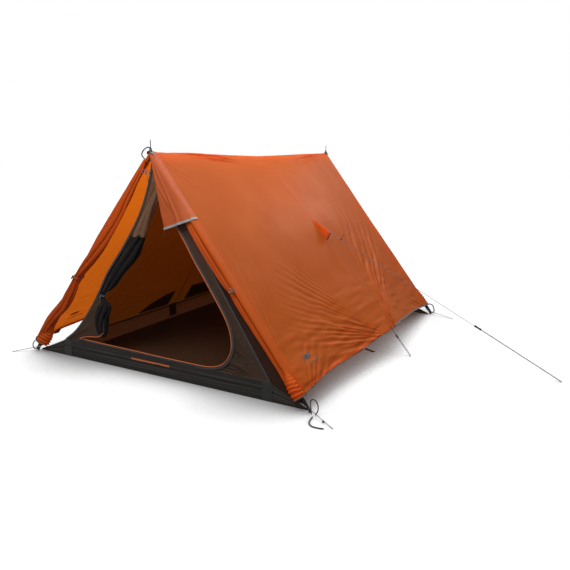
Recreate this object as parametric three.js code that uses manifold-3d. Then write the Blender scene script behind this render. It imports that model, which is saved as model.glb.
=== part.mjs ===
// A two-person ridge tent on two A-frames, standing pitched with its front door tied open.
// Millimetres, +Z up. The ridge runs along Y, the open front faces -Y and +X is to its right.
// The origin is on the ground, under the middle of the groundsheet.
import * as THREE from 'three';
import { mergeVertices } from 'three/addons/utils/BufferGeometryUtils.js';
import Module from 'manifold-3d';

// ---- Driving dimensions ----
const APEX_HEIGHT = 1200; // outer fabric at each A-frame
const HALF_SPREAD = 937; // centre to the line where the fly's edge would meet the ground
const HALF_LENGTH = 1056; // centre to each A-frame
const TUB_HALF_WIDTH = 700; // groundsheet
const TUB_WALL_HEIGHT = 100;
const INNER_HEIGHT = 1160; // inner tent's ridge
const SHEET = 2; // thickness of a flat sheet's solid
const FLY_DROP = 4; // thickness of the fly's solid, measured straight down
const GAP = 0.3; // between touching pieces

// A-frame poles
const POLE_RADIUS = 6.5;
const POLE_BORE = 5.2;
const STUB_RADIUS = 4.8;
const STUB_LENGTH = 60;
const POLE_OFFSET = 10; // pole axis inside the fly's edge line
const SLEEVE_RADIUS = 10;
const SLEEVE_BORE = 7.5;
const SLEEVE_END = 1405; // distances down the leg from the crossing of the two axes
const SOCKET_END = 62;
const SECTION_ENDS = [22.3, 510, 1000, 1452];
const FOOT_RADIUS = 6;
const NECK_RADIUS = 3.5;
const HUB = { radius: 9, socketRadius: 9.4, foot: 1150 };
const PIN = { radius: 1.6, foot: 1168, top: 1256 };

// Fly
const RIDGE_MID_HEIGHT = 1178; // the ridge sags between the frames
// The seam across the middle of the roof, as x and z from the ridge to the hem. The guyline pulls it.
const SEAM = [[0, RIDGE_MID_HEIGHT], [106, 1087], [202, 993], [402, 792],
  [505, 665], [638, 488], [778, 338], [965, 150]];
// How far down its slope the hem lies, from an A-frame (0) to the middle seam (1).
const SEAM_HEM = 0.967;
const FRONT_HEM = [[0, 0.939], [0.3, 0.935], [0.45, 0.942], [0.6, 0.951], [0.85, 0.957], [1, SEAM_HEM]];
const REAR_HEM = [[0, 0.944], [0.4, 0.941], [0.6, 0.946], [0.8, 0.953], [1, SEAM_HEM]];
const DOOR_HEM_HEIGHT = 80;
const DOOR_TOP = 1130;
const HOOD_LENGTH = 410; // along the pole
const HOOD_CORNER = [88, 812]; // free corner, x and z
const HOOD_PLANE = HALF_LENGTH + 13;

// Lines and their pegging points on the ground
const CORD_RADIUS = 1.5;
const STRAND_SPACING = 12;
const TAB_TIP = [530, 714]; // guy tab's outer corner, x and z
const TAB_ROOTS = [[404.5, 794], [507.5, 667]]; // its corners on the middle seam
const TAB_THICKNESS = 3;
const RIGHT_GUY_PEG = 1936;
const LEFT_GUY_PEG = 1600;
const HEM_LINE_START = [968.5, 146];
const HEM_PEG = 1089;
const CORNER_LINE = { height: 26, clearance: 14 }; // where it leaves the pole's foot
const CORNER_PEGS = {
  front_right: [1090, -1167],
  front_left: [-1022, -1166],
  rear_right: [1110, 1000],
  rear_left: [-1110, 1000],
};

const wasm = await Module();
wasm.setup();
const tent = new THREE.Group();

// ---- Materials ----
function material(color, roughness, metalness = 0) {
  return new THREE.MeshStandardMaterial({ color, roughness, metalness, side: THREE.FrontSide });
}
const FLY = material(0xbe5f37, 0.55);
const FLY_INSIDE = material(0xa8481e, 0.6);
const INNER = material(0x8a4a1c, 0.7);
const MESH = material(0x3a3633, 0.85);
const GROUND = material(0x3b3a38, 0.7);
const ALUMINIUM = material(0x1c1c1e, 0.35, 0.8);
const STEEL = material(0x8a8a8a, 0.3, 1);
const BLACK_PLASTIC = material(0x151515, 0.5);
const CORD = material(0x77736e, 0.8);
const ZIP_METAL = material(0x2a2a2a, 0.4, 0.7);

function add(name, geometry, mat) {
  const mesh = new THREE.Mesh(geometry, mat);
  mesh.name = name;
  tent.add(mesh);
  return mesh;
}

// ---- Geometry helpers ----
function vec(x, y, z) {
  return new THREE.Vector3(x, y, z);
}

function bare(geometry) {
  const copy = geometry.clone();
  copy.deleteAttribute('normal');
  copy.deleteAttribute('uv');
  return mergeVertices(copy, 1e-4);
}

function toSolid(geometry) {
  const merged = bare(geometry);
  const mesh = new wasm.Mesh({
    numProp: 3,
    vertProperties: new Float32Array(merged.attributes.position.array),
    triVerts: new Uint32Array(merged.index.array),
  });
  return new wasm.Manifold(mesh);
}

function fromSolid(solid) {
  const mesh = solid.getMesh();
  const geometry = new THREE.BufferGeometry();
  geometry.setAttribute('position', new THREE.BufferAttribute(new Float32Array(mesh.vertProperties), 3));
  geometry.setIndex(new THREE.BufferAttribute(new Uint32Array(mesh.triVerts), 1));
  geometry.computeVertexNormals();
  return geometry;
}

function fromTriangles(points, triangles) {
  const geometry = new THREE.BufferGeometry();
  geometry.setFromPoints(points);
  geometry.setIndex(triangles);
  geometry.computeVertexNormals();
  return geometry;
}

// Turns a shape whose axis is +Z and moves its start to a point, along a direction.
function aim(geometry, start, direction) {
  const turn = new THREE.Quaternion().setFromUnitVectors(vec(0, 0, 1), direction.clone().normalize());
  geometry.applyQuaternion(turn);
  geometry.translate(start.x, start.y, start.z);
  return geometry;
}

// Turns a closed [radius, height] profile about +Z.
function turned(profile, sides) {
  const points = profile.map(([radius, height]) => new THREE.Vector2(radius, height));
  const geometry = new THREE.LatheGeometry(points, sides);
  geometry.rotateX(Math.PI / 2);
  return geometry;
}

function rod(start, end, radius, sides) {
  const length = start.distanceTo(end);
  const profile = [[0, 0], [radius, 0], [radius, length], [0, length]];
  return aim(turned(profile, sides), start, end.clone().sub(start));
}

// A flat plate: an outline in x and z, from y to y + thickness, with optional holes.
function plate(outline, y, thickness) {
  const shape = new THREE.Shape(outline.map(([x, z]) => new THREE.Vector2(x, z)));
  const geometry = new THREE.ExtrudeGeometry(shape, { depth: thickness, bevelEnabled: false });
  geometry.rotateX(Math.PI / 2);
  geometry.translate(0, y + thickness, 0);
  return geometry;
}

function mirrorX(outline) {
  return outline.map(([x, z]) => [-x, z]).reverse();
}

// A closed sheet: surface(u, v) gives the outer face, and offset leads to the inner one.
function sheet(surface, columns, rows, offset) {
  const points = [];
  for (const shift of [vec(0, 0, 0), offset]) {
    for (let i = 0; i <= columns; i++) {
      for (let j = 0; j <= rows; j++) {
        points.push(surface(i / columns, j / rows).add(shift));
      }
    }
  }
  const layer = (columns + 1) * (rows + 1);
  const at = (i, j) => i * (rows + 1) + j;
  const triangles = [];
  const quad = (a, b, c, d) => triangles.push(a, b, c, a, c, d);
  for (let i = 0; i < columns; i++) {
    for (let j = 0; j < rows; j++) {
      quad(at(i, j), at(i + 1, j), at(i + 1, j + 1), at(i, j + 1));
      quad(layer + at(i, j), layer + at(i, j + 1), layer + at(i + 1, j + 1), layer + at(i + 1, j));
    }
    quad(at(i + 1, 0), at(i, 0), layer + at(i, 0), layer + at(i + 1, 0));
    quad(at(i, rows), at(i + 1, rows), layer + at(i + 1, rows), layer + at(i, rows));
  }
  for (let j = 0; j < rows; j++) {
    quad(at(0, j), at(0, j + 1), layer + at(0, j + 1), layer + at(0, j));
    quad(at(columns, j + 1), at(columns, j), layer + at(columns, j), layer + at(columns, j + 1));
  }
  return outward(fromTriangles(points, triangles));
}

// Flips a closed geometry whose faces point in.
function outward(geometry) {
  const position = geometry.attributes.position;
  const index = geometry.index.array;
  const corner = [vec(0, 0, 0), vec(0, 0, 0), vec(0, 0, 0)];
  let volume = 0;
  for (let i = 0; i < index.length; i += 3) {
    corner.forEach((point, k) => point.fromBufferAttribute(position, index[i + k]));
    volume += corner[0].dot(corner[1].cross(corner[2]));
  }
  if (volume < 0) {
    for (let i = 0; i < index.length; i += 3) {
      [index[i], index[i + 1]] = [index[i + 1], index[i]];
    }
  }
  geometry.computeVertexNormals();
  return geometry;
}

// A closed body through rings of points, with flat ends.
function loft(rings) {
  const sides = rings[0].length;
  const points = rings.flat();
  const triangles = [];
  for (let r = 0; r < rings.length - 1; r++) {
    for (let k = 0; k < sides; k++) {
      const a = r * sides + k;
      const b = r * sides + ((k + 1) % sides);
      triangles.push(a, b, b + sides, a, b + sides, a + sides);
    }
  }
  const last = (rings.length - 1) * sides;
  for (let k = 1; k < sides - 1; k++) {
    triangles.push(0, k + 1, k, last, last + k, last + k + 1);
  }
  return outward(fromTriangles(points, triangles));
}

// Reads a list of [place, value] pairs, joined by straight lines.
function along(pairs, place) {
  const last = pairs.length - 1;
  const next = Math.max(1, pairs.findIndex(([p], i) => i === last || p >= place));
  const [p0, v0] = pairs[next - 1];
  const [p1, v1] = pairs[next];
  return THREE.MathUtils.mapLinear(place, p0, p1, v0, v1);
}

// ---- A-frames ----
const EDGE_LENGTH = Math.hypot(HALF_SPREAD, APEX_HEIGHT);
const SIN = HALF_SPREAD / EDGE_LENGTH; // of the angle between a leg and the vertical
const COS = APEX_HEIGHT / EDGE_LENGTH;
const CROSSING_HEIGHT = APEX_HEIGHT - POLE_OFFSET / SIN;

function legDirection(side) {
  return vec(side * SIN, 0, -COS);
}

// A point on a leg's axis. side is 1 for right and -1 for left, end is -1 for front and 1 for rear.
function onLeg(side, end, distance) {
  return vec(0, end * HALF_LENGTH, CROSSING_HEIGHT).addScaledVector(legDirection(side), distance);
}

function legX(height) {
  return ((CROSSING_HEIGHT - height) * SIN) / COS;
}

const ENDS = [['front', -1], ['rear', 1]];
const SIDES = [['left', -1], ['right', 1]];

function hub(end) {
  const y = end * HALF_LENGTH;
  let solid = toSolid(rod(vec(0, y, HUB.foot), vec(0, y, APEX_HEIGHT), HUB.radius, 16));
  for (const [, side] of SIDES) {
    const socket = rod(onLeg(side, end, 0), onLeg(side, end, SOCKET_END), HUB.socketRadius, 16);
    solid = solid.add(toSolid(socket));
  }
  for (const [, side] of SIDES) {
    const boreTop = onLeg(side, end, SECTION_ENDS[0] - GAP);
    const bore = rod(boreTop, onLeg(side, end, SOCKET_END + 5), POLE_RADIUS + 0.5, 16);
    solid = solid.subtract(toSolid(bore));
  }
  const pinHole = rod(vec(0, y, PIN.foot - GAP), vec(0, y, APEX_HEIGHT + 5), PIN.radius + 0.4, 12);
  return fromSolid(solid.subtract(toSolid(pinHole)));
}

function cap() {
  const profile = [[2.2, 0], [19, 0], [20, 2], [20, 5], [17, 7], [7, 8], [6, 15], [2.2, 16], [2.2, 0]];
  return turned(profile, 20);
}

// The section nearest the hub has a plain top; the others plug into the one above them.
function poleSection(length, plugged) {
  const plug = 30;
  const outside = [[POLE_RADIUS, 0], [POLE_RADIUS, length]];
  const profile = [...outside, [POLE_BORE, length], [POLE_BORE, plug], [0, plug]];
  const top = plugged ? [[0, -STUB_LENGTH], [STUB_RADIUS, -STUB_LENGTH], [STUB_RADIUS, 0]] : [[0, 0]];
  return turned([...top, ...profile], 12);
}

// A plug, a collar against the pole's end, a neck and a ball that stands on the ground.
function poleTip() {
  const footCentre = (CROSSING_HEIGHT - FOOT_RADIUS) / COS;
  const reach = footCentre - SECTION_ENDS[3] - GAP;
  const profile = [[0, -30], [STUB_RADIUS, -30], [STUB_RADIUS, 0], [7.5, 0], [7.5, 6], [NECK_RADIUS, 10]];
  const steps = 7;
  for (let k = 0; k <= steps; k++) {
    const angle = THREE.MathUtils.lerp(Math.asin(NECK_RADIUS / FOOT_RADIUS), Math.PI, k / steps);
    const radius = k === steps ? 0 : FOOT_RADIUS * Math.sin(angle);
    profile.push([radius, reach - FOOT_RADIUS * Math.cos(angle)]);
  }
  return turned(profile, 12);
}

for (const [endName, end] of ENDS) {
  const y = end * HALF_LENGTH;
  add(`${endName}_hub`, hub(end), BLACK_PLASTIC);
  add(`${endName}_pin`, rod(vec(0, y, PIN.foot), vec(0, y, PIN.top), PIN.radius, 10), STEEL);
  add(`${endName}_cap`, cap(), BLACK_PLASTIC).position.set(0, y, APEX_HEIGHT + 0.5);
  for (const [sideName, side] of SIDES) {
    const leg = `${endName}_${sideName}`;
    const down = legDirection(side);
    ['upper', 'middle', 'lower'].forEach((part, k) => {
      const start = SECTION_ENDS[k] + (k > 0 ? GAP : 0);
      const section = poleSection(SECTION_ENDS[k + 1] - start, k > 0);
      add(`${leg}_pole_${part}`, aim(section, onLeg(side, end, start), down), ALUMINIUM);
    });
    add(`${leg}_pole_tip`, aim(poleTip(), onLeg(side, end, SECTION_ENDS[3] + GAP), down), BLACK_PLASTIC);
    const length = SLEEVE_END - SOCKET_END - 2;
    const ring = [[SLEEVE_BORE, 0], [SLEEVE_RADIUS, 0], [SLEEVE_RADIUS, length], [SLEEVE_BORE, length]];
    const sleeve = turned([...ring, ring[0]], 12);
    add(`${leg}_sleeve`, aim(sleeve, onLeg(side, end, SOCKET_END + 2), down), FLY);
  }
}

// ---- Fly roof: four panels, sewn along the ridge and the middle seam ----
const seamCurve = new THREE.CatmullRomCurve3(SEAM.map(([x, z]) => vec(x, 0, z)), false, 'centripetal');

function roofPanel(side, end) {
  const edgeY = HALF_LENGTH - SLEEVE_RADIUS - GAP;
  const hem = end < 0 ? FRONT_HEM : REAR_HEM;
  const surface = (u, v) => {
    const down = v * along(hem, u);
    const edge = vec(HALF_SPREAD * down, 0, APEX_HEIGHT * (1 - down));
    const point = edge.lerp(seamCurve.getPointAt(Math.min(1, down / SEAM_HEM)), u);
    point.x = side * Math.max(point.x, GAP / 2);
    point.y = end * THREE.MathUtils.lerp(edgeY, GAP / 2, u);
    return point;
  };
  return sheet(surface, 8, 12, vec(0, 0, -FLY_DROP));
}

for (const [endName, end] of ENDS) {
  for (const [sideName, side] of SIDES) {
    add(`fly_panel_${endName}_${sideName}`, roofPanel(side, end), FLY);
  }
}

// ---- Rear doors, closed: two halves that meet at a zip on the centre line ----
function rearDoor() {
  const inset = (SLEEVE_RADIUS + 0.4) / COS;
  const top = [legX(DOOR_TOP) - inset, DOOR_TOP];
  const foot = [legX(DOOR_HEM_HEIGHT) - inset, DOOR_HEM_HEIGHT];
  return [[GAP, DOOR_HEM_HEIGHT], foot, top, [GAP, DOOR_TOP]];
}
const DOOR_FACE = HALF_LENGTH - SHEET / 2;
add('rear_door_right', plate(rearDoor(), DOOR_FACE, SHEET), FLY);
add('rear_door_left', plate(mirrorX(rearDoor()), DOOR_FACE, SHEET), FLY);

// ---- Hood: a flap over the top of the front door, hinged along the right pole ----
const HOOD_TOP = [6, 1190];
const hoodFoot = [HOOD_TOP[0] + SIN * HOOD_LENGTH, HOOD_TOP[1] - COS * HOOD_LENGTH];
add('front_hood', plate([HOOD_TOP, HOOD_CORNER, hoodFoot], -HOOD_PLANE, SHEET), FLY);

// ---- Front doors, rolled back along the poles ----
// Each entry is the distance down the leg, the roll's half width and its half depth.
const LEFT_ROLL = [[70, 12, 9], [180, 26, 18], [380, 36, 24], [620, 38, 25], [780, 26, 20],
  [850, 17, 15], [930, 28, 22], [1060, 34, 24], [1220, 28, 20], [1340, 22, 16], [1400, 17, 13]];
const RIGHT_ROLL = [[370, 14, 8], [425, 18, 9], [520, 21, 16], [680, 22, 17], [770, 18, 15],
  [808, 14, 12], [860, 18, 15], [1000, 19, 16], [1180, 19, 15], [1320, 17, 14], [1400, 15, 12]];
const ROLL_SIDES = 12;

// The left roll lies in front of its sleeve. The right one lies beside its sleeve, under the hood.
function doorRoll(side, entries) {
  const inward = vec(-side * COS, 0, -SIN);
  const clear = SLEEVE_RADIUS + 0.6;
  const edge = side < 0 ? -clear : clear;
  const rings = entries.map(([distance, halfWidth, halfDepth]) => {
    const centre = onLeg(side, -1, distance).addScaledVector(inward, edge + halfWidth);
    centre.y -= side < 0 ? clear + halfDepth : 0;
    return Array.from({ length: ROLL_SIDES }, (_, k) => {
      const angle = (2 * Math.PI * k) / ROLL_SIDES;
      const point = centre.clone().addScaledVector(inward, halfWidth * Math.cos(angle));
      point.y += halfDepth * Math.sin(angle);
      return point;
    });
  });
  return loft(rings);
}
add('front_door_roll_left', doorRoll(-1, LEFT_ROLL), FLY_INSIDE);
add('front_door_roll_right', doorRoll(1, RIGHT_ROLL), FLY_INSIDE);

// A barrel toggle in front of each pole, on the loop that ties the roll back.
const TOGGLE_PLACES = { left: 858, right: 808 };
const TOGGLE_PLANES = { left: HALF_LENGTH + 66, right: HALF_LENGTH + 26 };
for (const [sideName, side] of SIDES) {
  const centre = onLeg(side, -1, TOGGLE_PLACES[sideName]);
  centre.y = -TOGGLE_PLANES[sideName];
  const profile = [[0, -13], [3.5, -12], [4.5, -6], [3.2, 0], [4.5, 6], [3.5, 12], [0, 13]];
  add(`door_toggle_${sideName}`, aim(turned(profile, 10), centre, legDirection(side)), BLACK_PLASTIC);
}

// ---- Guy tabs on the middle seams ----
const tabOutline = [TAB_ROOTS[0], TAB_TIP, TAB_ROOTS[1]];
add('guy_tab_right', plate(tabOutline, -TAB_THICKNESS / 2, TAB_THICKNESS), FLY);
add('guy_tab_left', plate(mirrorX(tabOutline), -TAB_THICKNESS / 2, TAB_THICKNESS), FLY);

// ---- Inner tent ----
const TUB_HALF_LENGTH = HALF_LENGTH - 14;
const TUB_GUSSET_REACH = 908; // the end walls taper out to the pole feet
const TUB_GUSSET_TIP = 8;
const INNER_BASE = TUB_WALL_HEIGHT + GAP;

function groundsheet() {
  const floor = new THREE.BoxGeometry(2 * TUB_HALF_WIDTH, 2 * TUB_HALF_LENGTH, SHEET);
  floor.translate(0, 0, SHEET / 2);
  let solid = toSolid(floor);
  const wall = [[-TUB_GUSSET_REACH, 0], [TUB_GUSSET_REACH, 0], [TUB_GUSSET_REACH, TUB_GUSSET_TIP],
    [TUB_HALF_WIDTH, TUB_WALL_HEIGHT], [-TUB_HALF_WIDTH, TUB_WALL_HEIGHT],
    [-TUB_GUSSET_REACH, TUB_GUSSET_TIP]];
  for (const [, end] of ENDS) {
    const y = end * TUB_HALF_LENGTH - SHEET / 2;
    solid = solid.add(toSolid(plate(wall, y, SHEET)));
  }
  for (const [, side] of SIDES) {
    const sideWall = new THREE.BoxGeometry(SHEET, 2 * TUB_HALF_LENGTH, TUB_WALL_HEIGHT);
    sideWall.translate(side * (TUB_HALF_WIDTH - SHEET / 2), 0, TUB_WALL_HEIGHT / 2);
    solid = solid.add(toSolid(sideWall));
  }
  return fromSolid(solid);
}
add('groundsheet', groundsheet(), GROUND);

function innerX(height) {
  return (TUB_HALF_WIDTH * (INNER_HEIGHT - height)) / (INNER_HEIGHT - TUB_WALL_HEIGHT);
}

// The tied-back door pulls the inner tent's front left edge towards the middle, by height.
const DOOR_PULL = [[100, 4], [150, 40], [225, 64], [399, 78], [530, 70],
  [700, 90], [880, 90], [1100, 28], [1160, 0]];
const PULL_LENGTH = 420;
const INNER_THICKNESS = 2.4; // measured level, across the slope

function innerSideWall(side) {
  const surface = (u, v) => {
    const height = THREE.MathUtils.lerp(INNER_HEIGHT - 12, INNER_BASE, v);
    const y = THREE.MathUtils.lerp(-1, 1, u) * (TUB_HALF_LENGTH - SHEET / 2 - GAP);
    const frontness = Math.max(0, (-y - TUB_HALF_LENGTH + PULL_LENGTH) / PULL_LENGTH);
    const pull = side < 0 ? along(DOOR_PULL, height) * frontness ** 2 : 0;
    return vec(side * (innerX(height) - pull), y, height);
  };
  return sheet(surface, side < 0 ? 12 : 1, side < 0 ? 10 : 1, vec(-side * INNER_THICKNESS, 0, 0));
}
for (const [sideName, side] of SIDES) {
  add(`inner_wall_${sideName}`, innerSideWall(side), INNER);
}

// The door's zip: up the right side in a curve, along the bottom, and back to the left corner.
const ZIP_RIGHT = [[18, 1060], [82, 920], [215, 721], [350, 520], [436, 387], [470, 300],
  [472, 205], [448, 140], [379, 114]];
const ZIP_LEFT = [[-300, 122], [-579, 124], [-520, 215], [-440, 350]];

function innerFrontWall() {
  const edge = (height) => innerX(height) - 0.2;
  const pulled = (height) => -(innerX(height) - along(DOOR_PULL, height));
  const left = [INNER_BASE, 160, 232, 300, 360].map((height) => [pulled(height), height]);
  const right = [[edge(INNER_BASE), INNER_BASE], [edge(1120), 1120], [18, 1120]];
  return [...left.reverse(), ...right, ...ZIP_RIGHT, ...ZIP_LEFT];
}
const INNER_FACE = TUB_HALF_LENGTH - SHEET / 2;
add('inner_wall_front', plate(innerFrontWall(), -INNER_FACE - SHEET, SHEET), MESH);

const rearFoot = innerX(INNER_BASE);
const rearTriangle = [[-rearFoot, INNER_BASE], [rearFoot, INNER_BASE], [0, INNER_HEIGHT - 4]];
add('inner_wall_rear', plate(rearTriangle, INNER_FACE, SHEET), MESH);

// The inner door, gathered to the left edge and tied.
// Each entry is a ring's height, centre x, half width and half depth.
const BUNDLE = [[1090, 14, 8, 8], [1041, 26, 18, 14], [972, 0, 25, 18], [900, -43, 32, 24],
  [765, -120, 46, 28], [650, -185, 60, 30], [530, -293, 48, 26], [442, -362, 30, 20],
  [412, -396, 14, 12], [386, -401, 14, 12], [346, -389, 42, 26], [275, -415, 50, 32],
  [220, -422, 48, 32], [175, -415, 32, 24], [155, -412, 14, 12]];
const BUNDLE_PLANE = HALF_LENGTH - 30;

function doorBundle() {
  const rings = BUNDLE.map(([height, x, halfWidth, halfDepth]) => {
    return Array.from({ length: ROLL_SIDES }, (_, k) => {
      const angle = (2 * Math.PI * k) / ROLL_SIDES;
      return vec(x + halfWidth * Math.cos(angle), halfDepth * Math.sin(angle) - BUNDLE_PLANE, height);
    });
  });
  return loft(rings);
}
add('inner_door_bundle', doorBundle(), MESH);

// ---- Zip sliders ----
function zipSlider() {
  const outline = [[-9, -5], [9, -5], [11, 0], [9, 5], [-9, 5], [-11, 0]];
  return plate(outline, 0, 5);
}
const ZIP_SLIDER = { x: -556, y: -INNER_FACE - SHEET - 5 - GAP, z: 124 };
const slider = add('inner_zip_slider', zipSlider(), ZIP_METAL);
slider.position.set(ZIP_SLIDER.x, ZIP_SLIDER.y, ZIP_SLIDER.z);
const PULLER_THICKNESS = 1.6;
const pullerOutline = [[-3, 0.8], [3, 0.8], [4, -24], [0, -27], [-4, -24]];
const pullerPlate = plate(pullerOutline, -2 * GAP - PULLER_THICKNESS, PULLER_THICKNESS);
const puller = add('inner_zip_puller', pullerPlate, ZIP_METAL);
puller.position.set(ZIP_SLIDER.x, ZIP_SLIDER.y, ZIP_SLIDER.z);

const rearSlider = add('rear_zip_slider', zipSlider(), ZIP_METAL);
rearSlider.rotation.set(0, Math.PI / 2, 0);
rearSlider.position.set(0, DOOR_FACE + SHEET + GAP, DOOR_HEM_HEIGHT + 14);

// ---- Lines ----
// A line runs to its peg, round it and back to a slider. The two strands lie in one level plane.
function peggedLine(start, peg, returnTo) {
  const run = peg.clone().sub(start).normalize();
  const half = STRAND_SPACING / 2;
  const aside = vec(0, half, 0);
  const path = new THREE.CurvePath();
  const turnStart = peg.clone().addScaledVector(run, -half);
  path.add(new THREE.LineCurve3(start.clone().sub(aside), turnStart.clone().sub(aside)));
  let previous = turnStart.clone().sub(aside);
  for (let k = 1; k <= 8; k++) {
    const angle = (Math.PI * k) / 8;
    const point = turnStart.clone().addScaledVector(run, half * Math.sin(angle));
    point.y -= half * Math.cos(angle);
    path.add(new THREE.LineCurve3(previous, point));
    previous = point;
  }
  path.add(new THREE.LineCurve3(previous, start.clone().lerp(peg, returnTo).add(aside)));
  return path;
}

// A tube through a path's own corners: straight runs need no steps between them.
function pathTube(path, radius, sides = 8) {
  const corners = [path.curves[0].v1, ...path.curves.map((curve) => curve.v2)];
  const rings = corners.map((corner, i) => {
    const before = corners[Math.max(i - 1, 0)];
    const after = corners[Math.min(i + 1, corners.length - 1)];
    const arriving = corner.clone().sub(before).normalize();
    const leaving = after.clone().sub(corner).normalize();
    const heading = arriving.add(leaving).normalize();
    const level = vec(0, 0, 1).cross(heading).normalize();
    const up = heading.clone().cross(level);
    return Array.from({ length: sides }, (_, k) => {
      const angle = (2 * Math.PI * (k + 0.5)) / sides;
      return corner.clone()
        .addScaledVector(level, radius * Math.cos(angle))
        .addScaledVector(up, radius * Math.sin(angle));
    });
  });
  return loft(rings);
}

// A slotted block that both strands pass through, with its length along +Z.
function lineSlider(length) {
  const outer = new THREE.Shape();
  const halfWidth = 10;
  const halfHeight = 4;
  outer.moveTo(-halfWidth, -halfHeight);
  outer.lineTo(halfWidth, -halfHeight);
  outer.lineTo(halfWidth, halfHeight);
  outer.lineTo(-halfWidth, halfHeight);
  const slotHalfWidth = STRAND_SPACING / 2 + CORD_RADIUS + 0.9;
  const slotHalfHeight = CORD_RADIUS + 0.8;
  const slot = new THREE.Path();
  slot.moveTo(-slotHalfWidth, -slotHalfHeight);
  slot.lineTo(-slotHalfWidth, slotHalfHeight);
  slot.lineTo(slotHalfWidth, slotHalfHeight);
  slot.lineTo(slotHalfWidth, -slotHalfHeight);
  outer.holes.push(slot);
  return new THREE.ExtrudeGeometry(outer, { depth: length, bevelEnabled: false });
}

// Places a line slider on a line: its +Z goes along the line and its +X along Y.
function placeSlider(mesh, start, peg, distance) {
  const run = peg.clone().sub(start).normalize();
  const across = vec(0, 1, 0);
  const basis = new THREE.Matrix4().makeBasis(across, run.clone().cross(across), run);
  mesh.quaternion.setFromRotationMatrix(basis);
  mesh.position.copy(start).addScaledVector(run, distance);
}

const CORD_HEIGHT = CORD_RADIUS + 0.15; // a line's axis where it lies on the ground
const GUY_SLIDER = { fromPeg: 545, length: 44 };
const HEM_SLIDER = { fromStart: 36, length: 20 };
for (const [sideName, side] of SIDES) {
  const reach = side > 0 ? RIGHT_GUY_PEG : LEFT_GUY_PEG;
  const start = vec(side * (TAB_TIP[0] + 3), 0, TAB_TIP[1] - 1.5);
  const peg = vec(side * reach, 0, CORD_HEIGHT);
  const length = start.distanceTo(peg);
  const sliderPlace = length - GUY_SLIDER.fromPeg;
  const guyRoute = peggedLine(start, peg, (sliderPlace + GUY_SLIDER.length / 2) / length);
  add(`guyline_${sideName}`, pathTube(guyRoute, CORD_RADIUS), CORD);
  const guySlider = add(`guyline_slider_${sideName}`, lineSlider(GUY_SLIDER.length), BLACK_PLASTIC);
  placeSlider(guySlider, start, peg, sliderPlace);

  const hemStart = vec(side * HEM_LINE_START[0], 0, HEM_LINE_START[1]);
  const hemPeg = vec(side * HEM_PEG, 0, CORD_HEIGHT);
  const hemReturn = HEM_SLIDER.fromStart + HEM_SLIDER.length / 2;
  const hemRoute = peggedLine(hemStart, hemPeg, hemReturn / hemStart.distanceTo(hemPeg));
  add(`hem_line_${sideName}`, pathTube(hemRoute, CORD_RADIUS), CORD);
  const hemSlider = add(`hem_line_slider_${sideName}`, lineSlider(HEM_SLIDER.length), BLACK_PLASTIC);
  placeSlider(hemSlider, hemStart, hemPeg, HEM_SLIDER.fromStart);
}

for (const [corner, [x, y]] of Object.entries(CORNER_PEGS)) {
  const side = Math.sign(x);
  const end = Math.sign(y);
  const foot = onLeg(side, end, (CROSSING_HEIGHT - CORNER_LINE.height) / COS);
  const peg = vec(x, y, CORD_HEIGHT);
  const start = foot.clone().lerp(peg, CORNER_LINE.clearance / foot.distanceTo(peg));
  add(`corner_line_${corner}`, rod(start, peg, CORD_RADIUS, 8), CORD);
}

export default tent;
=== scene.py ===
"""The looks of a two-person ridge tent, pitched on two A-frames with its front door tied open."""

import math

import bpy
import numpy as np
from mathutils import Matrix, Vector


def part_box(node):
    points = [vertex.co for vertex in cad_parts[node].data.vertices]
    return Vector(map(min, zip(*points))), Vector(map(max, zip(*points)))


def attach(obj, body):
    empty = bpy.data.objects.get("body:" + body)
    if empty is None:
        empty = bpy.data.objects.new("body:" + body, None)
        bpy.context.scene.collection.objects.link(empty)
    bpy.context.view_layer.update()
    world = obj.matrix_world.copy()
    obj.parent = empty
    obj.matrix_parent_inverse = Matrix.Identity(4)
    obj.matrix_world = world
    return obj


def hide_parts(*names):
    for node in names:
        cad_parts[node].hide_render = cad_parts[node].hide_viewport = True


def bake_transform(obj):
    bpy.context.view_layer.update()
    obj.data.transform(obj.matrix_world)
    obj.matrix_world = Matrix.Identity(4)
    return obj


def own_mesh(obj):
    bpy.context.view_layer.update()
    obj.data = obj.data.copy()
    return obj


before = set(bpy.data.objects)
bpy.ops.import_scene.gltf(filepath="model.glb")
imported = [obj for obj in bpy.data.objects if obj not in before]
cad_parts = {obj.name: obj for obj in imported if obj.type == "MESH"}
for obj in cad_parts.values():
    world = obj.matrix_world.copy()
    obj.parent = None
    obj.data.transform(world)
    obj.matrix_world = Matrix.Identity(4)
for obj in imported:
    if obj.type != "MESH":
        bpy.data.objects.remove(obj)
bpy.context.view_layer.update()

ENDS = {"front": -1, "rear": 1}
SIDES = {"left": -1, "right": 1}
X, Y, Z = np.eye(3)


# ---- Small maths ----
def unit(vectors):
    vectors = np.asarray(vectors, float)
    return vectors / np.maximum(np.linalg.norm(vectors, axis=-1, keepdims=True), 1e-12)


def mix(a, b, share):
    return a + (b - a) * share


def smooth(share):
    share = np.clip(share, 0, 1)
    return share * share * (3 - 2 * share)


def hump(distance, width):
    """1 at no distance, and 0 from a width away."""
    return smooth(1 - np.abs(distance) / width)


def noise(x, y, seed=0.0):
    """Smooth noise from -1 to 1, the same at every run."""
    x, y = np.broadcast_arrays(np.asarray(x, float), np.asarray(y, float))
    column, row = np.floor(x), np.floor(y)

    def corner(right, up):
        value = np.sin((column + right) * 127.1 + (row + up) * 311.7 + seed * 74.7) * 43758.5453
        return value - np.floor(value)

    across = smooth(x - column)
    low = mix(corner(0, 0), corner(1, 0), across)
    high = mix(corner(0, 1), corner(1, 1), across)
    return 2 * mix(low, high, smooth(y - row)) - 1


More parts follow.
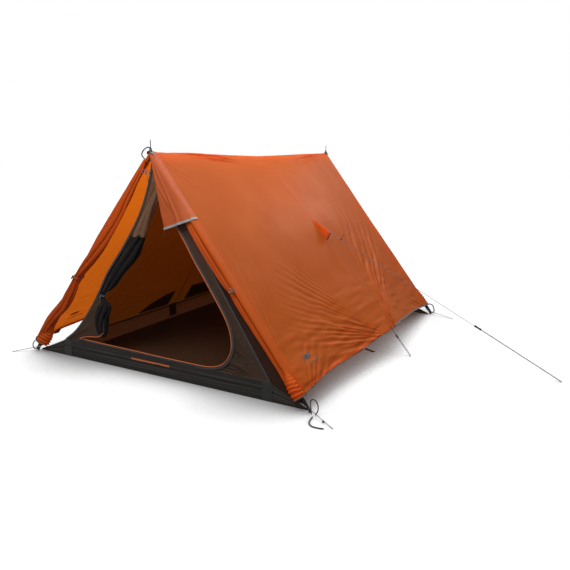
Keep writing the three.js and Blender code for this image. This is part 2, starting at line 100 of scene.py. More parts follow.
def places(x, y, z):
    """Points from their coordinates, each of them a number or an array."""
    return np.stack(np.broadcast_arrays(x, y, z), -1)


def between(start, end, count):
    """Evenly spaced points from one point to another."""
    return mix(np.asarray(start, float), np.asarray(end, float), np.linspace(0, 1, count)[:, None])


def circle(count):
    """Evenly spaced angles round a circle."""
    return np.linspace(0, 2 * math.pi, count, endpoint=False)


def in_plane(flat, y):
    """Points from (x, z) rows, all at one y."""
    flat = np.asarray(flat, float)
    return places(flat[:, 0], y, flat[:, 1])


def lengths(line):
    """Distance along a line at each of its points."""
    steps = np.linalg.norm(np.diff(line, axis=0), axis=1)
    return np.concatenate([[0], np.cumsum(steps)])


def spaced(line, count):
    """The line again, as evenly spaced points."""
    line = np.asarray(line, float)
    along = lengths(line)
    at = np.linspace(0, along[-1], count)
    return np.stack([np.interp(at, along, line[:, k]) for k in range(line.shape[1])], axis=1)


def spline(points, count):
    """Evenly spaced points on a smooth curve through the given ones."""
    given = np.asarray(points, float)
    given = np.vstack([2 * given[0] - given[1], given, 2 * given[-1] - given[-2]])
    t = np.linspace(0, 1, 24, endpoint=False)[:, None]
    parts = [
        0.5 * (2 * b + (c - a) * t + (2 * a - 5 * b + 4 * c - d) * t**2 + (3 * b - a - 3 * c + d) * t**3)
        for a, b, c, d in zip(given, given[1:], given[2:], given[3:])
    ]
    return spaced(np.vstack([*parts, given[-2:-1]]), count)


def read(rows, at):
    """Reads a table of (place, value, ...) rows along smooth curves. Returns a row for each value."""
    rows = np.asarray(rows, float)
    place, values = rows[:, 0], rows[:, 1:]
    at = np.asarray(at, float)
    slope = np.gradient(values, place, axis=0)
    i = np.clip(np.searchsorted(place, at) - 1, 0, len(place) - 2)
    gap = place[i + 1] - place[i]
    t = np.clip((at - place[i]) / gap, 0, 1)[..., None]
    gap = gap[..., None]
    found = (
        (1 + 2 * t) * (1 - t) ** 2 * values[i] + t * (1 - t) ** 2 * gap * slope[i]
        + t * t * (3 - 2 * t) * values[i + 1] + t * t * (t - 1) * gap * slope[i + 1]
    )
    return np.moveaxis(found, -1, 0)


# ---- Sizes, from the frame ----
def centre(node):
    low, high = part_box(node)
    return np.array((low + high) / 2)


high_on_leg, low_on_leg = centre("front_right_pole_upper"), centre("front_right_sleeve")
SIN, _, COS = np.abs(unit(low_on_leg - high_on_leg))  # of a leg's angle from the vertical
CROSSING = high_on_leg[2] + high_on_leg[0] * COS / SIN  # height where the leg axes cross
HALF_LENGTH = -centre("front_pin")[1]
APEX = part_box("front_cap")[0].z - 0.0005  # top of the fly at an A-frame
HALF_SPREAD = APEX * SIN / COS
SLOPE = math.hypot(APEX, HALF_SPREAD)
POLE_RADIUS = 0.0065
SLEEVE_RADIUS = 0.010
SLEEVE_OUTSIDE = SLEEVE_RADIUS + 0.0006
FRONT_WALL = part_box("inner_wall_front")[0].y
REAR_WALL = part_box("inner_wall_rear")[1].y
TUB_END = -FRONT_WALL - 0.0002
TUB_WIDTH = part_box("inner_wall_front")[1].x  # half of the groundsheet's
TUB_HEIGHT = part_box("inner_wall_rear")[0].z
INNER_HEIGHT = 1.160
DOOR_PLANE = centre("rear_door_right")[1]
HOOD_PLANE = centre("front_hood")[1]


def on_leg(side, end, distance):
    """A point on a leg's axis, that far down from where the axes cross."""
    return np.array([side * SIN * distance, end * HALF_LENGTH, CROSSING - COS * distance])


def leg_down(side):
    return np.array([side * SIN, 0, -COS])


def leg_inward(side):
    """Square to a leg, into the tent."""
    return np.array([-side * COS, 0, -SIN])


def leg_x(height):
    return (CROSSING - height) * SIN / COS


# ---- Mesh builders ----
def link(name, data):
    piece = bpy.data.objects.new(name, data)
    bpy.context.scene.collection.objects.link(piece)
    return piece


def build(name, points, faces, uv=None, sharp=None, closed=True):
    """A mesh. uv has one row for each corner of each face. The faces of a closed mesh are turned outward."""
    points = np.asarray(points, float)
    faces = [list(face) for face in faces]
    if closed:
        fans = [(f[0], f[k], f[k + 1]) for f in faces for k in range(1, len(f) - 1)]
        a, b, c = points[np.array(fans)].transpose(1, 0, 2)
        if (a * np.cross(b, c)).sum() < 0:
            sizes = [len(face) for face in faces]
            faces = [face[::-1] for face in faces]
            if uv is not None:
                ends = np.cumsum(sizes)
                uv = np.concatenate([uv[end - size:end][::-1] for size, end in zip(sizes, ends)])
    mesh = bpy.data.meshes.new(name)
    mesh.from_pydata(points.tolist(), [], faces)
    if uv is not None:
        layer = mesh.uv_layers.new(name="UVMap")
        layer.data.foreach_set("uv", np.asarray(uv, np.float32).ravel())
    mesh.shade_smooth()
    if sharp is not None:
        mesh.set_sharp_from_angle(angle=math.radians(sharp))
    return link(name, mesh)


def metres(points):
    """Lengths along the rows and along the columns of an array of points, for a weave's real scale."""
    down = np.linalg.norm(np.diff(points, axis=0), axis=2).cumsum(0)
    across = np.linalg.norm(np.diff(points, axis=1), axis=2).cumsum(1)
    u = np.vstack([np.zeros((1, points.shape[1])), down])
    v = np.hstack([np.zeros((points.shape[0], 1)), across])
    return np.stack([u, v], -1)


def quads_of(index):
    corners = [index[:-1, :-1], index[1:, :-1], index[1:, 1:], index[:-1, 1:]]
    return np.stack(corners, -1).reshape(-1, 4)


def grid(name, points, uv=None):
    """An open sheet over rows and columns of points."""
    index = np.arange(points.shape[0] * points.shape[1]).reshape(points.shape[:2])
    quads = quads_of(index)
    uv = metres(points) if uv is None else uv
    return build(name, points.reshape(-1, 3), quads.tolist(), uv.reshape(-1, 2)[quads.ravel()], closed=False)


def loft(name, rings, sharp=50):
    """A closed body through rings of points, with a flat cap at each end."""
    rings = np.asarray(rings, float)
    count, sides = rings.shape[:2]
    index = np.arange(count * sides).reshape(count, sides)
    quads = quads_of(np.hstack([index, index[:, :1]]))
    faces = [*quads.tolist(), index[0][::-1].tolist(), index[-1].tolist()]
    uv_index = quads_of(np.arange(count * (sides + 1)).reshape(count, sides + 1))
    uv = metres(np.concatenate([rings, rings[:, :1]], axis=1)).reshape(-1, 2)[uv_index.ravel()]
    return build(name, rings.reshape(-1, 3), faces, np.vstack([uv, np.zeros((2 * sides, 2))]), sharp)


def normals_along(path):
    """Two normals at each point of a path, turned as little as possible on the way."""
    heading = unit(np.gradient(path, axis=0))
    start = Z if abs(heading[0][2]) < 0.9 else X
    normal = [unit(start - heading[0] * (start @ heading[0]))]
    for along in heading[1:]:
        normal.append(unit(normal[-1] - along * (normal[-1] @ along)))
    normal = np.array(normal)
    return normal, np.cross(heading, normal)


def tube(name, path, radius, sides=8):
    path = np.asarray(path, float)
    normal, level = normals_along(path)
    angle = circle(sides)[None, :, None]
    around = np.cos(angle) * normal[:, None] + np.sin(angle) * level[:, None]
    return loft(name, path[:, None] + radius * around)


def ribbon(name, path, normal, width, thickness):
    """A flat strap along a path, whose face looks along the normals."""
    path = np.asarray(path, float)
    heading = unit(np.gradient(path, axis=0))
    normal = np.broadcast_to(normal, path.shape)
    across = unit(np.cross(normal, heading))
    normal = np.cross(heading, across)
    half = np.broadcast_to(width, len(path))[:, None] / 2
    corners = [(-1, 1), (0, 1), (1, 1), (1, -1), (0, -1), (-1, -1)]
    rings = np.stack([path + a * half * across + b * thickness / 2 * normal for a, b in corners], 1)
    return loft(name, rings, 30)


def lathe(name, profile, start, axis, sides=32, sharp=35):
    """A turned body: (radius, distance along the axis) from end to end."""
    axis = unit(axis)
    helper = X if abs(axis[0]) < 0.8 else Y
    first = unit(np.cross(axis, helper))
    second = np.cross(axis, first)
    angle = circle(sides)[:, None]
    around = np.cos(angle) * first + np.sin(angle) * second
    rings = [np.asarray(start) + axis * along + around * max(radius, 1e-5) for radius, along in profile]
    return loft(name, rings, sharp)


def prism(name, outline, origin, right, up, depth, bevel):
    """A flat outline pushed to a thickness, with rounded edges. It is centred on its plane."""
    out = np.cross(right, up)
    flat = np.array([origin + a * np.asarray(right) + b * np.asarray(up) for a, b in outline])
    count = len(flat)
    points = np.vstack([flat - out * depth / 2, flat + out * depth / 2])
    faces = [list(range(count))[::-1], list(range(count, 2 * count))]
    faces += [[k, (k + 1) % count, count + (k + 1) % count, count + k] for k in range(count)]
    piece = build(name, points, faces, sharp=30)
    modifier = piece.modifiers.new("rounded", "BEVEL")
    modifier.width, modifier.segments, modifier.limit_method = bevel, 2, "ANGLE"
    return piece


def joined(name, pieces):
    """Several pieces as one object."""
    bpy.context.view_layer.update()
    graph = bpy.context.evaluated_depsgraph_get()
    points, faces, uv = [], [], []
    for piece in pieces:
        mesh = piece.evaluated_get(graph).to_mesh()
        faces += [[len(points) + k for k in face.vertices] for face in mesh.polygons]
        points += [tuple(piece.matrix_world @ v.co) for v in mesh.vertices]
        flat = np.zeros(2 * len(mesh.loops))
        if mesh.uv_layers:
            mesh.uv_layers[0].data.foreach_get("uv", flat)
        uv.append(flat.reshape(-1, 2))
    made = build(name, points, faces, np.vstack(uv), 35, False)
    for piece in pieces:
        bpy.data.objects.remove(piece)
    return made


def box_outline(width, height, cut=0.0):
    """A rectangle's corners, which may be cut off."""
    w, h = width / 2, height / 2
    if not cut:
        return [(-w, -h), (w, -h), (w, h), (-w, h)]
    return [(-w + cut, -h), (w - cut, -h), (w, -h + cut), (w, h - cut),
            (w - cut, h), (-w + cut, h), (-w, h - cut), (-w, -h + cut)]


def dress(piece, material, body="tent", replaces=()):
    """Gives a piece its material, its body and the CAD nodes that it stands for."""
    piece.data.materials.clear()
    piece.data.materials.append(material)
    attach(piece, body)
    if replaces:
        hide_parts(*replaces)
    return piece


# ---- Materials ----
def rgb(code):
    """A linear colour from a screen colour such as c8602f."""
    screen = [int(code[k:k + 2], 16) / 255 for k in (0, 2, 4)]
    return tuple(c / 12.92 if c <= 0.04045 else ((c + 0.055) / 1.055) ** 2.4 for c in screen) + (1.0,)


def node(tree, kind, inputs=None, **settings):
    made = tree.nodes.new("ShaderNode" + kind)
    for key, value in settings.items():
        setattr(made, key, value)
    for key, value in (inputs or {}).items():
        if isinstance(value, bpy.types.NodeSocket):
            tree.links.new(value, made.inputs[key])
        else:
            made.inputs[key].default_value = value
    return made


def new_material(name):
    material = bpy.data.materials.new(name)
    material.use_nodes = True
    tree = material.node_tree
    tree.nodes.clear()
    return material, tree, node(tree, "OutputMaterial")


def blend_colours(tree, share, first, second):
    mixed = node(tree, "Mix", data_type="RGBA")
    for socket, value in ((mixed.inputs[0], share), (mixed.inputs[6], first), (mixed.inputs[7], second)):
        if isinstance(value, bpy.types.NodeSocket):
            tree.links.new(value, socket)
        else:
            socket.default_value = value
    return mixed.outputs[2]


def maths(tree, operation, *values):
    return node(tree, "Math", dict(enumerate(values)), operation=operation).outputs[0]


def stripes(tree, uv, period, direction):
    """Soft bands from 0 to 1 across a UV direction, a period apart in metres."""
    return node(tree, "TexWave", {"Vector": uv, "Scale": 2 * math.pi / 20 / period},
                bands_direction=direction).outputs["Fac"]


def cloth(name, colour, shade, through=None, share=0.0, ripstop=0.005, roughness=0.5, sheen=0.15,
          bump=0.25, specular=0.4):
    """Woven nylon: a fine weave crossed by ripstop threads, tones that drift, and light through it."""
    material, tree, output = new_material(name)
    uv = node(tree, "UVMap").outputs[0]
    place = node(tree, "TexCoord").outputs["Object"]
    threads = maths(tree, "MAXIMUM", stripes(tree, uv, ripstop, "X"), stripes(tree, uv, ripstop, "Y"))
    lines = maths(tree, "POWER", threads, 10.0)
    weave = maths(tree, "MULTIPLY", stripes(tree, uv, 0.0006, "X"), stripes(tree, uv, 0.0006, "Y"))
    drift = node(tree, "TexNoise", {"Vector": place, "Scale": 5.0, "Detail": 4.0}).outputs["Fac"]
    base = blend_colours(tree, drift, rgb(colour), rgb(shade))
    base = blend_colours(tree, maths(tree, "MULTIPLY", lines, 0.35), base, rgb(shade))
    height = maths(tree, "ADD", maths(tree, "MULTIPLY", lines, 0.7), maths(tree, "MULTIPLY", weave, 0.3))
    normal = node(tree, "Bump", {"Height": height, "Strength": bump, "Distance": 0.0004}).outputs[0]
    rough = maths(tree, "ADD", maths(tree, "MULTIPLY", drift, 0.16), roughness - 0.08)
    shader = node(tree, "BsdfPrincipled", {
        "Base Color": base, "Roughness": rough, "Normal": normal, "Sheen Weight": sheen,
        "Sheen Roughness": 0.4, "Specular IOR Level": specular}).outputs[0]
    if through:
        glow = node(tree, "BsdfTranslucent", {"Color": rgb(through), "Normal": normal}).outputs[0]
        shader = node(tree, "MixShader", {0: share, 1: shader, 2: glow}).outputs[0]
    tree.links.new(shader, output.inputs[0])
    return material


def netting(name, colour, shade, openness, through="3a2c22"):
    """Fine mesh: threads with holes between them that let part of the light by."""
    material, tree, output = new_material(name)
    uv = node(tree, "UVMap").outputs[0]
    place = node(tree, "TexCoord").outputs["Object"]
    threads = maths(tree, "MULTIPLY", stripes(tree, uv, 0.0014, "X"), stripes(tree, uv, 0.0014, "Y"))
    drift = node(tree, "TexNoise", {"Vector": place, "Scale": 9.0, "Detail": 3.0}).outputs["Fac"]
    base = blend_colours(tree, drift, rgb(colour), rgb(shade))
    normal = node(tree, "Bump", {"Height": threads, "Strength": 0.3, "Distance": 0.0004}).outputs[0]
    solid = node(tree, "BsdfPrincipled", {
        "Base Color": base, "Roughness": 0.75, "Normal": normal, "Sheen Weight": 0.08,
        "Specular IOR Level": 0.15}).outputs[0]
    glow = node(tree, "BsdfTranslucent", {"Color": rgb(through)}).outputs[0]
    solid = node(tree, "MixShader", {0: 0.2, 1: solid, 2: glow}).outputs[0]
    hole = node(tree, "BsdfTransparent").outputs[0]
    holes = maths(tree, "MULTIPLY", threads, 4 * openness)
    shader = node(tree, "MixShader", {0: holes, 1: solid, 2: hole}).outputs[0]
    tree.links.new(shader, output.inputs[0])
    return material


def webbing_material(name, colour, shade, rib=0.0016):
    """Woven tape: ribs across it and stitches near its edges."""
    material, tree, output = new_material(name)
    uv = node(tree, "UVMap").outputs[0]
    ribs = maths(tree, "MULTIPLY", stripes(tree, uv, rib, "X"), stripes(tree, uv, rib * 0.8, "Y"))
    base = blend_colours(tree, ribs, rgb(shade), rgb(colour))
    normal = node(tree, "Bump", {"Height": ribs, "Strength": 0.5, "Distance": 0.0006}).outputs[0]
    shader = node(tree, "BsdfPrincipled", {
        "Base Color": base, "Roughness": 0.7, "Normal": normal, "Sheen Weight": 0.2}).outputs[0]
    tree.links.new(shader, output.inputs[0])
    return material


def braided(name, colour, fleck):
    """Round braided cord with flecks in a spiral."""
    material, tree, output = new_material(name)
    uv = node(tree, "UVMap").outputs[0]
    turned = node(tree, "Mapping", {"Vector": uv, "Rotation": (0, 0, math.radians(38))}).outputs[0]
    strands = node(tree, "TexWave", {"Vector": turned, "Scale": 2 * math.pi / 20 / 0.0022}).outputs["Fac"]
    flecks = maths(tree, "GREATER_THAN", stripes(tree, turned, 0.011, "Y"), 0.86)
    base = blend_colours(tree, flecks, rgb(colour), rgb(fleck))
    normal = node(tree, "Bump", {"Height": strands, "Strength": 0.6, "Distance": 0.0005}).outputs[0]
    shader = node(tree, "BsdfPrincipled", {
        "Base Color": base, "Roughness": 0.75, "Normal": normal, "Sheen Weight": 0.2}).outputs[0]
    tree.links.new(shader, output.inputs[0])
    return material


def hard(name, colour, shade, roughness, metallic=0.0, grain=400.0):
    """Moulded plastic or metal with a fine grain and rubbed patches."""
    material, tree, output = new_material(name)
    place = node(tree, "TexCoord").outputs["Object"]
    speck = node(tree, "TexNoise", {"Vector": place, "Scale": grain, "Detail": 2.0}).outputs["Fac"]
    worn = node(tree, "TexNoise", {"Vector": place, "Scale": 30.0, "Detail": 5.0}).outputs["Fac"]
    base = blend_colours(tree, worn, rgb(colour), rgb(shade))
    normal = node(tree, "Bump", {"Height": speck, "Strength": 0.12, "Distance": 0.0003}).outputs[0]
    rough = maths(tree, "ADD", maths(tree, "MULTIPLY", worn, 0.2), roughness - 0.1)
    shader = node(tree, "BsdfPrincipled", {
        "Base Color": base, "Roughness": rough, "Normal": normal, "Metallic": metallic}).outputs[0]
    tree.links.new(shader, output.inputs[0])
    return material


FLY = cloth("fly ripstop", "d46923", "be5718", "ff7c1a", 0.5, roughness=0.54, sheen=0.0, specular=0.13)
HOOD = cloth("hood ripstop", "b85a30", "a04822", "c85a24", 0.18, sheen=0.0, specular=0.15)
DOOR = cloth("door ripstop", "c65417", "a8410d", "e8690f", 0.25, sheen=0.0, specular=0.12)
SEAM_DARK = webbing_material("sleeve seam", "8f3c14", "6e2c0c", 0.004)
PRINT = webbing_material("dark print", "3a2620", "2c1c18", 0.004)
HEM_TAPE = webbing_material("hem binding", "37393b", "232526")
INNER = cloth("inner nylon", "5c4c18", "503f12", "92802c", 0.45, ripstop=0.004, roughness=0.6, sheen=0.05,
              bump=0.15)
NET = netting("inner net", "4a372c", "38291f", 0.1)
NET_DARK = netting("gathered net", "171210", "0e0b0a", 0.03, "171412")
# Painted shade: a dark brown net that stands in for the shaded inside of the fly between the inner tent and
# the right pole.
NET_PAINTED_SHADE = netting("painted shade net", "371c0c", "281308", 0.02, "2a1a0e")
NET_SHEER = netting("sheer net", "86644c", "664a38", 0.2, "b87c48")
WINDOW = netting("window net", "1c100a", "120a06", 0.04)
TUB_WEAVE = {"ripstop": 0.006, "sheen": 0.05, "bump": 0.12}
FLOOR = cloth("floor nylon", "302d2a", "242220", "54463a", 0.18, roughness=0.4, **TUB_WEAVE)
# Painted light and shade: the groundsheet's inside face, the same grey cloth as outside, painted dark brown
# for the orange light inside the tent.
FLOOR_INSIDE_PAINTED_LIGHT = cloth("floor inside, painted light", "412915", "35200f", roughness=0.55, **TUB_WEAVE)
# Painted light: the tub walls are the groundsheet's grey cloth, painted lighter and browner for the orange
# light that falls on them inside the tent.
TUB_SIDE_PAINTED_LIGHT = cloth("tub side, painted light", "5a4a3c", "48392c", "86603e", 0.42, roughness=0.5, **TUB_WEAVE)
ZIP_TAPE = webbing_material("zip tape", "2b2e33", "1f2125", 0.0012)
PIPING = webbing_material("orange piping", "c9641a", "a84c0c", 0.002)
ORANGE_TAPE = webbing_material("orange tape", "c2581e", "9c4214", 0.0018)
BLACK_TAPE = webbing_material("black webbing", "1c1b1a", "100f0e")
GREY_TAPE = webbing_material("grey webbing", "5c5f61", "44474a")
LIGHT_BAND = webbing_material("light grey band", "8d9495", "777e80", 0.0014)
CORD = braided("line cord", "55555a", "2c2c2e")
SHOCK_CORD = braided("shock cord", "141415", "2a2b2d")
PLASTIC = hard("black plastic", "111112", "1d1d1f", 0.4)
GREY_PLASTIC = hard("grey plastic", "4a4c50", "5c5f63", 0.45)
ALUMINIUM = hard("anodised aluminium", "1d1e21", "2c2d31", 0.3, 0.85, 900.0)
STEEL = hard("steel", "5a5753", "45423f", 0.35, 1.0, 700.0)
ZIP_METAL = hard("zip metal", "3a3b3d", "555658", 0.32, 0.9)


# ---- Camera ----
CAMERA_PLACE = (2.0990, -3.5422, 1.2183)
CAMERA_TURN = (28.02, 12.32, 0.92)  # yaw to the left, pitch down and roll, in degrees


def make_camera():
    """Stands in front and to the right, a little above the ridge, and looks down at the tent's middle."""
    yaw, pitch, roll = (math.radians(angle) for angle in CAMERA_TURN)
    look = Vector((-math.sin(yaw) * math.cos(pitch), math.cos(yaw) * math.cos(pitch), -math.sin(pitch)))
    level = Vector((math.cos(yaw), math.sin(yaw), 0))
    up = level.cross(look)
    right = level * math.cos(roll) + up * math.sin(roll)
    up = up * math.cos(roll) - level * math.sin(roll)
    data = bpy.data.cameras.new("camera")
    data.sensor_width, data.lens = 36.0, 39.16
    camera = link("camera", data)
    turn = Matrix((right, up, -look)).transposed().to_4x4()
    camera.matrix_world = Matrix.Translation(CAMERA_PLACE) @ turn
    bpy.context.scene.camera = camera


make_camera()

# ---- Lines ----
CORD_DIAMETER = 0.003
CORD_HEIGHT = 0.00165  # of a line's axis where it meets the ground
STRANDS_APART = 0.012
GUY_START = np.array([0.533, 0, 0.7125])  # on the right side
GUY_PEG = {"left": 1.600, "right": 1.936}  # x of the line's end
GUY_SLIDER = 0.545  # from the peg to the slider's near end
HEM_START = np.array([0.9685, 0, 0.146])
HEM_PEG = 1.089
HEM_SLIDER = 0.036  # from the line's start to the slider
CORNER_PEGS = {"front_right": (1.090, -1.167), "front_left": (-1.022, -1.166),
               "rear_right": (1.110, 1.000), "rear_left": (-1.110, 1.000)}


def cord(name, path, replaces=(), body="tent", diameter=CORD_DIAMETER,
         material=None):
    """A cord along its path, from the path's first point."""
    piece = tube(name, path, diameter / 2)
    dress(piece, material or CORD, body, replaces)
    return piece


def pegged(start, peg, return_at):
    """A line out to its peg and round it, and the strand that comes back to the slider."""
    run = unit(peg - start)
    half = STRANDS_APART / 2
    turn = peg - run * half
    out = between(start - Y * half, turn - Y * half, 24)
    angle = np.linspace(0, math.pi, 9)[1:, None]
    bend = turn + run * half * np.sin(angle) - Y * half * np.cos(angle)
    back = between(turn + Y * half, start + run * return_at + Y * half, 16)
    return np.vstack([out, bend]), back


def slider_block(name, place, run, length, width, height):
    """A tensioner: a rounded bar with a waist and two rims."""
    edge = [(-0.5, 0.5), (-0.32, 0.5), (-0.22, 0.4), (0.22, 0.4), (0.32, 0.5), (0.5, 0.5)]
    outline = [(a * length, -b * width) for a, b in edge] + [(a * length, b * width) for a, b in edge[::-1]]
    body = prism(name + "_body", outline, place, run, Y, height, 0.0012)
    rim = box_outline(length * 0.1, width * 0.92)
    rims = [prism(f"{name}_rim{k}", rim, place + run * length * k, run, Y, height * 1.25, 0.001)
            for k in (-0.4, 0.4)]
    return joined(name, [body, *rims])


def make_line(kind, side_name, start, peg, slider_at, length, width):
    """A line to its peg and back, with its slider. The returning strand gets shorter as that moves out."""
    run = unit(peg - start)
    middle = slider_at + length / 2
    main, back = pegged(start, peg, middle)
    slider_name = f"{kind}_slider_{side_name}"
    slider = slider_block(slider_name + "_part", start + run * middle, run, length, width, 0.0075)
    dress(slider, PLASTIC, slider_name, [slider_name])
    cord(f"{kind}_{side_name}_main", main, [f"{kind}_{side_name}"])
    strand = cord(f"{kind}_{side_name}_return", back)
    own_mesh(strand)


for side_name, side in SIDES.items():
    flip = np.array([side, 1, 1])
    peg = np.array([side * GUY_PEG[side_name], 0, CORD_HEIGHT])
    start = GUY_START * flip
    slider_at = np.linalg.norm(peg - start) - GUY_SLIDER
    make_line("guyline", side_name, start, peg, slider_at, length=0.044, width=0.018)
    peg = np.array([side * HEM_PEG, 0, CORD_HEIGHT])
    start = HEM_START * flip
    make_line("hem_line", side_name, start, peg, HEM_SLIDER, length=0.020, width=0.016)

for corner, (x, y) in CORNER_PEGS.items():
    foot = on_leg(np.sign(x), np.sign(y), (CROSSING - 0.026) / COS)
    peg = np.array([x, y, CORD_HEIGHT])
    start = foot + unit(peg - foot) * 0.014
    path = between(start, peg, 16)
    cord(f"corner_line_{corner}_main", path, [f"corner_line_{corner}"])

# ---- Fly roof ----
RIDGE_MIDDLE = 1.178
SEAM = [(0, RIDGE_MIDDLE), (0.106, 1.087), (0.202, 0.993), (0.402, 0.792), (0.505, 0.665), (0.638, 0.488),
        (0.778, 0.338), (0.965, 0.150)]  # x and z of the seam across the middle
SEAM_HEM = 0.967
HEM = {-1: [(0, 0.939), (0.3, 0.935), (0.45, 0.942), (0.6, 0.951), (0.85, 0.957), (1, SEAM_HEM)],
       1: [(0, 0.944), (0.4, 0.941), (0.6, 0.946), (0.8, 0.953), (1, SEAM_HEM)]}
seam_points = spline(SEAM, 300)
EDGE_Y = HALF_LENGTH - SLEEVE_RADIUS  # where the flat of the roof meets the sleeve
STITCH_INSET = 0.040  # from the pole's axis to the line that closes its sleeve


def fan(y, s, centre_at, toward, spread, reach, count, height, seed):
    """Folds under tension that spread from a point (y along the ridge, s down the slope)."""
    dy, ds = y - centre_at[0], s - centre_at[1]
    distance = np.hypot(dy, ds)
    angle = np.arctan2(ds, dy) - math.radians(toward)
    angle = (angle + math.pi) % (2 * math.pi) - math.pi
    share = angle / math.radians(spread)
    wander = 0.8 * noise(distance * 3.6, share * 2.0, seed)
    wander = wander + 0.35 * noise(distance * 12, share * 6, seed + 5)
    wave = np.cos(math.pi * (share * count + wander + seed * 0.37))
    ridge = np.sign(wave) * np.abs(wave) ** 0.8
    vary = 0.55 + 0.6 * noise(share * count * 0.8, distance * 3.3, seed + 2)
    fade = smooth(distance / reach[0]) * smooth((reach[1] - distance) / (0.6 * reach[1]))
    return height * ridge * vary * fade * smooth(1.6 * (1 - np.abs(share)))


# Where each fan of folds starts, the way it heads (degrees from +Y towards the hem), its spread, its reach
# (from full height to its end), how many folds it has, their height and a seed.
ROOF_FANS = [
    ((0.03, 1.54), 216, 26, (0.30, 1.15), 19, 0.0042, 1),
    ((0.05, 1.54), 204, 22, (0.34, 1.10), 8, 0.0042, 21),
    ((-0.02, 1.56), 309, 19, (0.10, 1.45), 8, 0.0105, 2),
    ((-0.02, 1.58), 284, 12, (0.08, 0.75), 5, 0.0045, 22),
    ((-1.13, -0.02), 5, 5, (0.08, 1.45), 3, 0.0130, 3),
    ((1.12, -0.02), 174, 7, (0.10, 0.95), 3.5, 0.0110, 4),
    ((-1.12, -0.02), 40, 20, (0.06, 0.45), 5, 0.0016, 5),
    ((-1.08, 1.52), 283, 12, (0.08, 1.05), 4, 0.0035, 6),
    ((-1.08, 1.52), 325, 26, (0.10, 0.60), 6, 0.0032, 7),
    ((1.08, 1.50), 258, 13, (0.08, 0.95), 4, 0.0040, 8),
    ((1.08, 1.50), 212, 26, (0.10, 0.55), 7, 0.0040, 9),
    ((0.0, 0.60), 350, 30, (0.08, 0.45), 4, 0.0012, 10),
]


def roof_folds(side, y, s):
    """Height of folds, puckers and seams above the smooth roof."""
    k = 0.0 if side > 0 else 20.0  # the left side has its own folds
    height = sum(fan(y, s, *folds, k + seed) for *folds, seed in ROOF_FANS)
    corner = smooth((s - 1.22) / 0.16) * smooth((0.16 - HALF_LENGTH - y) / 0.16 + 1)
    height += 0.014 * corner * (1 + 0.35 * noise(s * 22, y * 26, k + 17))
    height += 0.0035 * noise(y * 4.0, s * 3.2, k + 12) + 0.0014 * noise(y * 11, s * 9, k + 13)
    height += 0.0026 * noise(y * 8, s * 36, k + 16) * smooth((s - 0.9) / 0.3)
    height -= 0.0022 * hump(s - 1.415 - 0.02 * noise(y * 3, 0, k), 0.018) * smooth(-y / 0.1)
    inset = HALF_LENGTH - STITCH_INSET - np.abs(y)
    pucker = 0.0006 * noise(s * 55, np.sign(y) * 3, k + 14)
    height += pucker * hump(inset, 0.03) - 0.0014 * hump(inset, 0.006)
    height += 0.0005 * noise(s * 60, y * 20, k + 15) * hump(y, 0.03)
    height *= smooth((HALF_LENGTH - 0.006 - np.abs(y)) / 0.04 + 0.15)
    return height * smooth(s / 0.022 + 0.25) * (1.0 if side > 0 else 0.5)


def roof_shape(signed_share, y):
    """The smooth roof. signed_share runs from the left hem (-1) over the ridge to the right one (1)."""
    side, share = np.sign(signed_share), np.abs(signed_share)
    u = np.clip((EDGE_Y - np.sqrt(y * y + 0.012**2) + 0.012) / EDGE_Y, 0, 1)
    hem = np.where(y < 0, read(HEM[-1], u)[0], read(HEM[1], u)[0])
    down = share * hem
    along = np.linspace(0, 1, len(seam_points))
    seam_x = np.interp(down / SEAM_HEM, along, seam_points[:, 0])
    seam_z = np.interp(down / SEAM_HEM, along, seam_points[:, 1])
    x = mix(HALF_SPREAD * down, seam_x, u)
    z = mix(APEX * (1 - down), seam_z, u)
    ridge = mix(APEX, RIDGE_MIDDLE, u)
    z = ridge - np.hypot(ridge - z, 0.004)
    return np.stack([side * x, y, z], -1), down * SLOPE


def normals_of(points):
    """Unit normals of an array of points, on its upper side."""
    normal = unit(np.cross(np.gradient(points, axis=0), np.gradient(points, axis=1)))
    return normal * np.where(normal[..., 2:] < 0, -1, 1)


half_rows = np.concatenate([np.linspace(0, 0.10, 26)[:-1], np.linspace(0.10, 0.88, 125)[:-1],
                            np.linspace(0.88, 1, 56)])  # shares of the slope, closer together at both ends
ROWS = np.concatenate([-half_rows[:0:-1], half_rows])
COLUMNS = np.concatenate([[-HALF_LENGTH], np.linspace(-EDGE_Y, EDGE_Y, 231), [HALF_LENGTH]])
SLEEVE_PUFF = {-1: 0.029, 1: 0.010}  # how much wider a sleeve gets at its foot, in front and at the rear
SLEEVE_PUCKER = {-1: 0.0050, 1: 0.0032}
REAR_FLARE = 0.022  # how far the rear edge leans out at its hem
WRAP_ROWS = 13  # rows of points round a pole and back to the stitching


def sleeve_wrap(end, edge, out, s):
    """Rows of points round a pole, from the roof's edge to its stitching. out is the roof's normal there."""
    flare = REAR_FLARE * smooth((s - 0.5) / 0.9) if end > 0 else 0 * s
    edge = edge + flare[:, None] * Y
    hub = edge - out * SLEEVE_RADIUS
    foot = smooth((s - 1.28) / 0.10)
    puffed = SLEEVE_OUTSIDE + 0.0012 * noise(s * 9, 0, end + 3) ** 2 + SLEEVE_PUFF[end] * foot
    wraps = []
    for angle in np.linspace(0, math.pi, 10)[1:]:
        pucker = np.sin(s * 2 * math.pi / 0.019 + angle * 1.3 + 2.5 * noise(s * 24, angle * 0.6, end))
        reach = puffed + SLEEVE_PUCKER[end] * foot * pucker
        reach = (reach + 0.002 * math.sin(angle) * noise(s * 5, angle, end) ** 2)[:, None]
        wraps.append(hub + reach * (out * math.cos(angle) + end * Y * math.sin(angle)))
    back = edge - out * 0.0016 - end * Y * (STITCH_INSET + 0.001)
    return wraps + [mix(wraps[8], back, k) for k in (0.3, 0.6, 0.85, 1.0)]


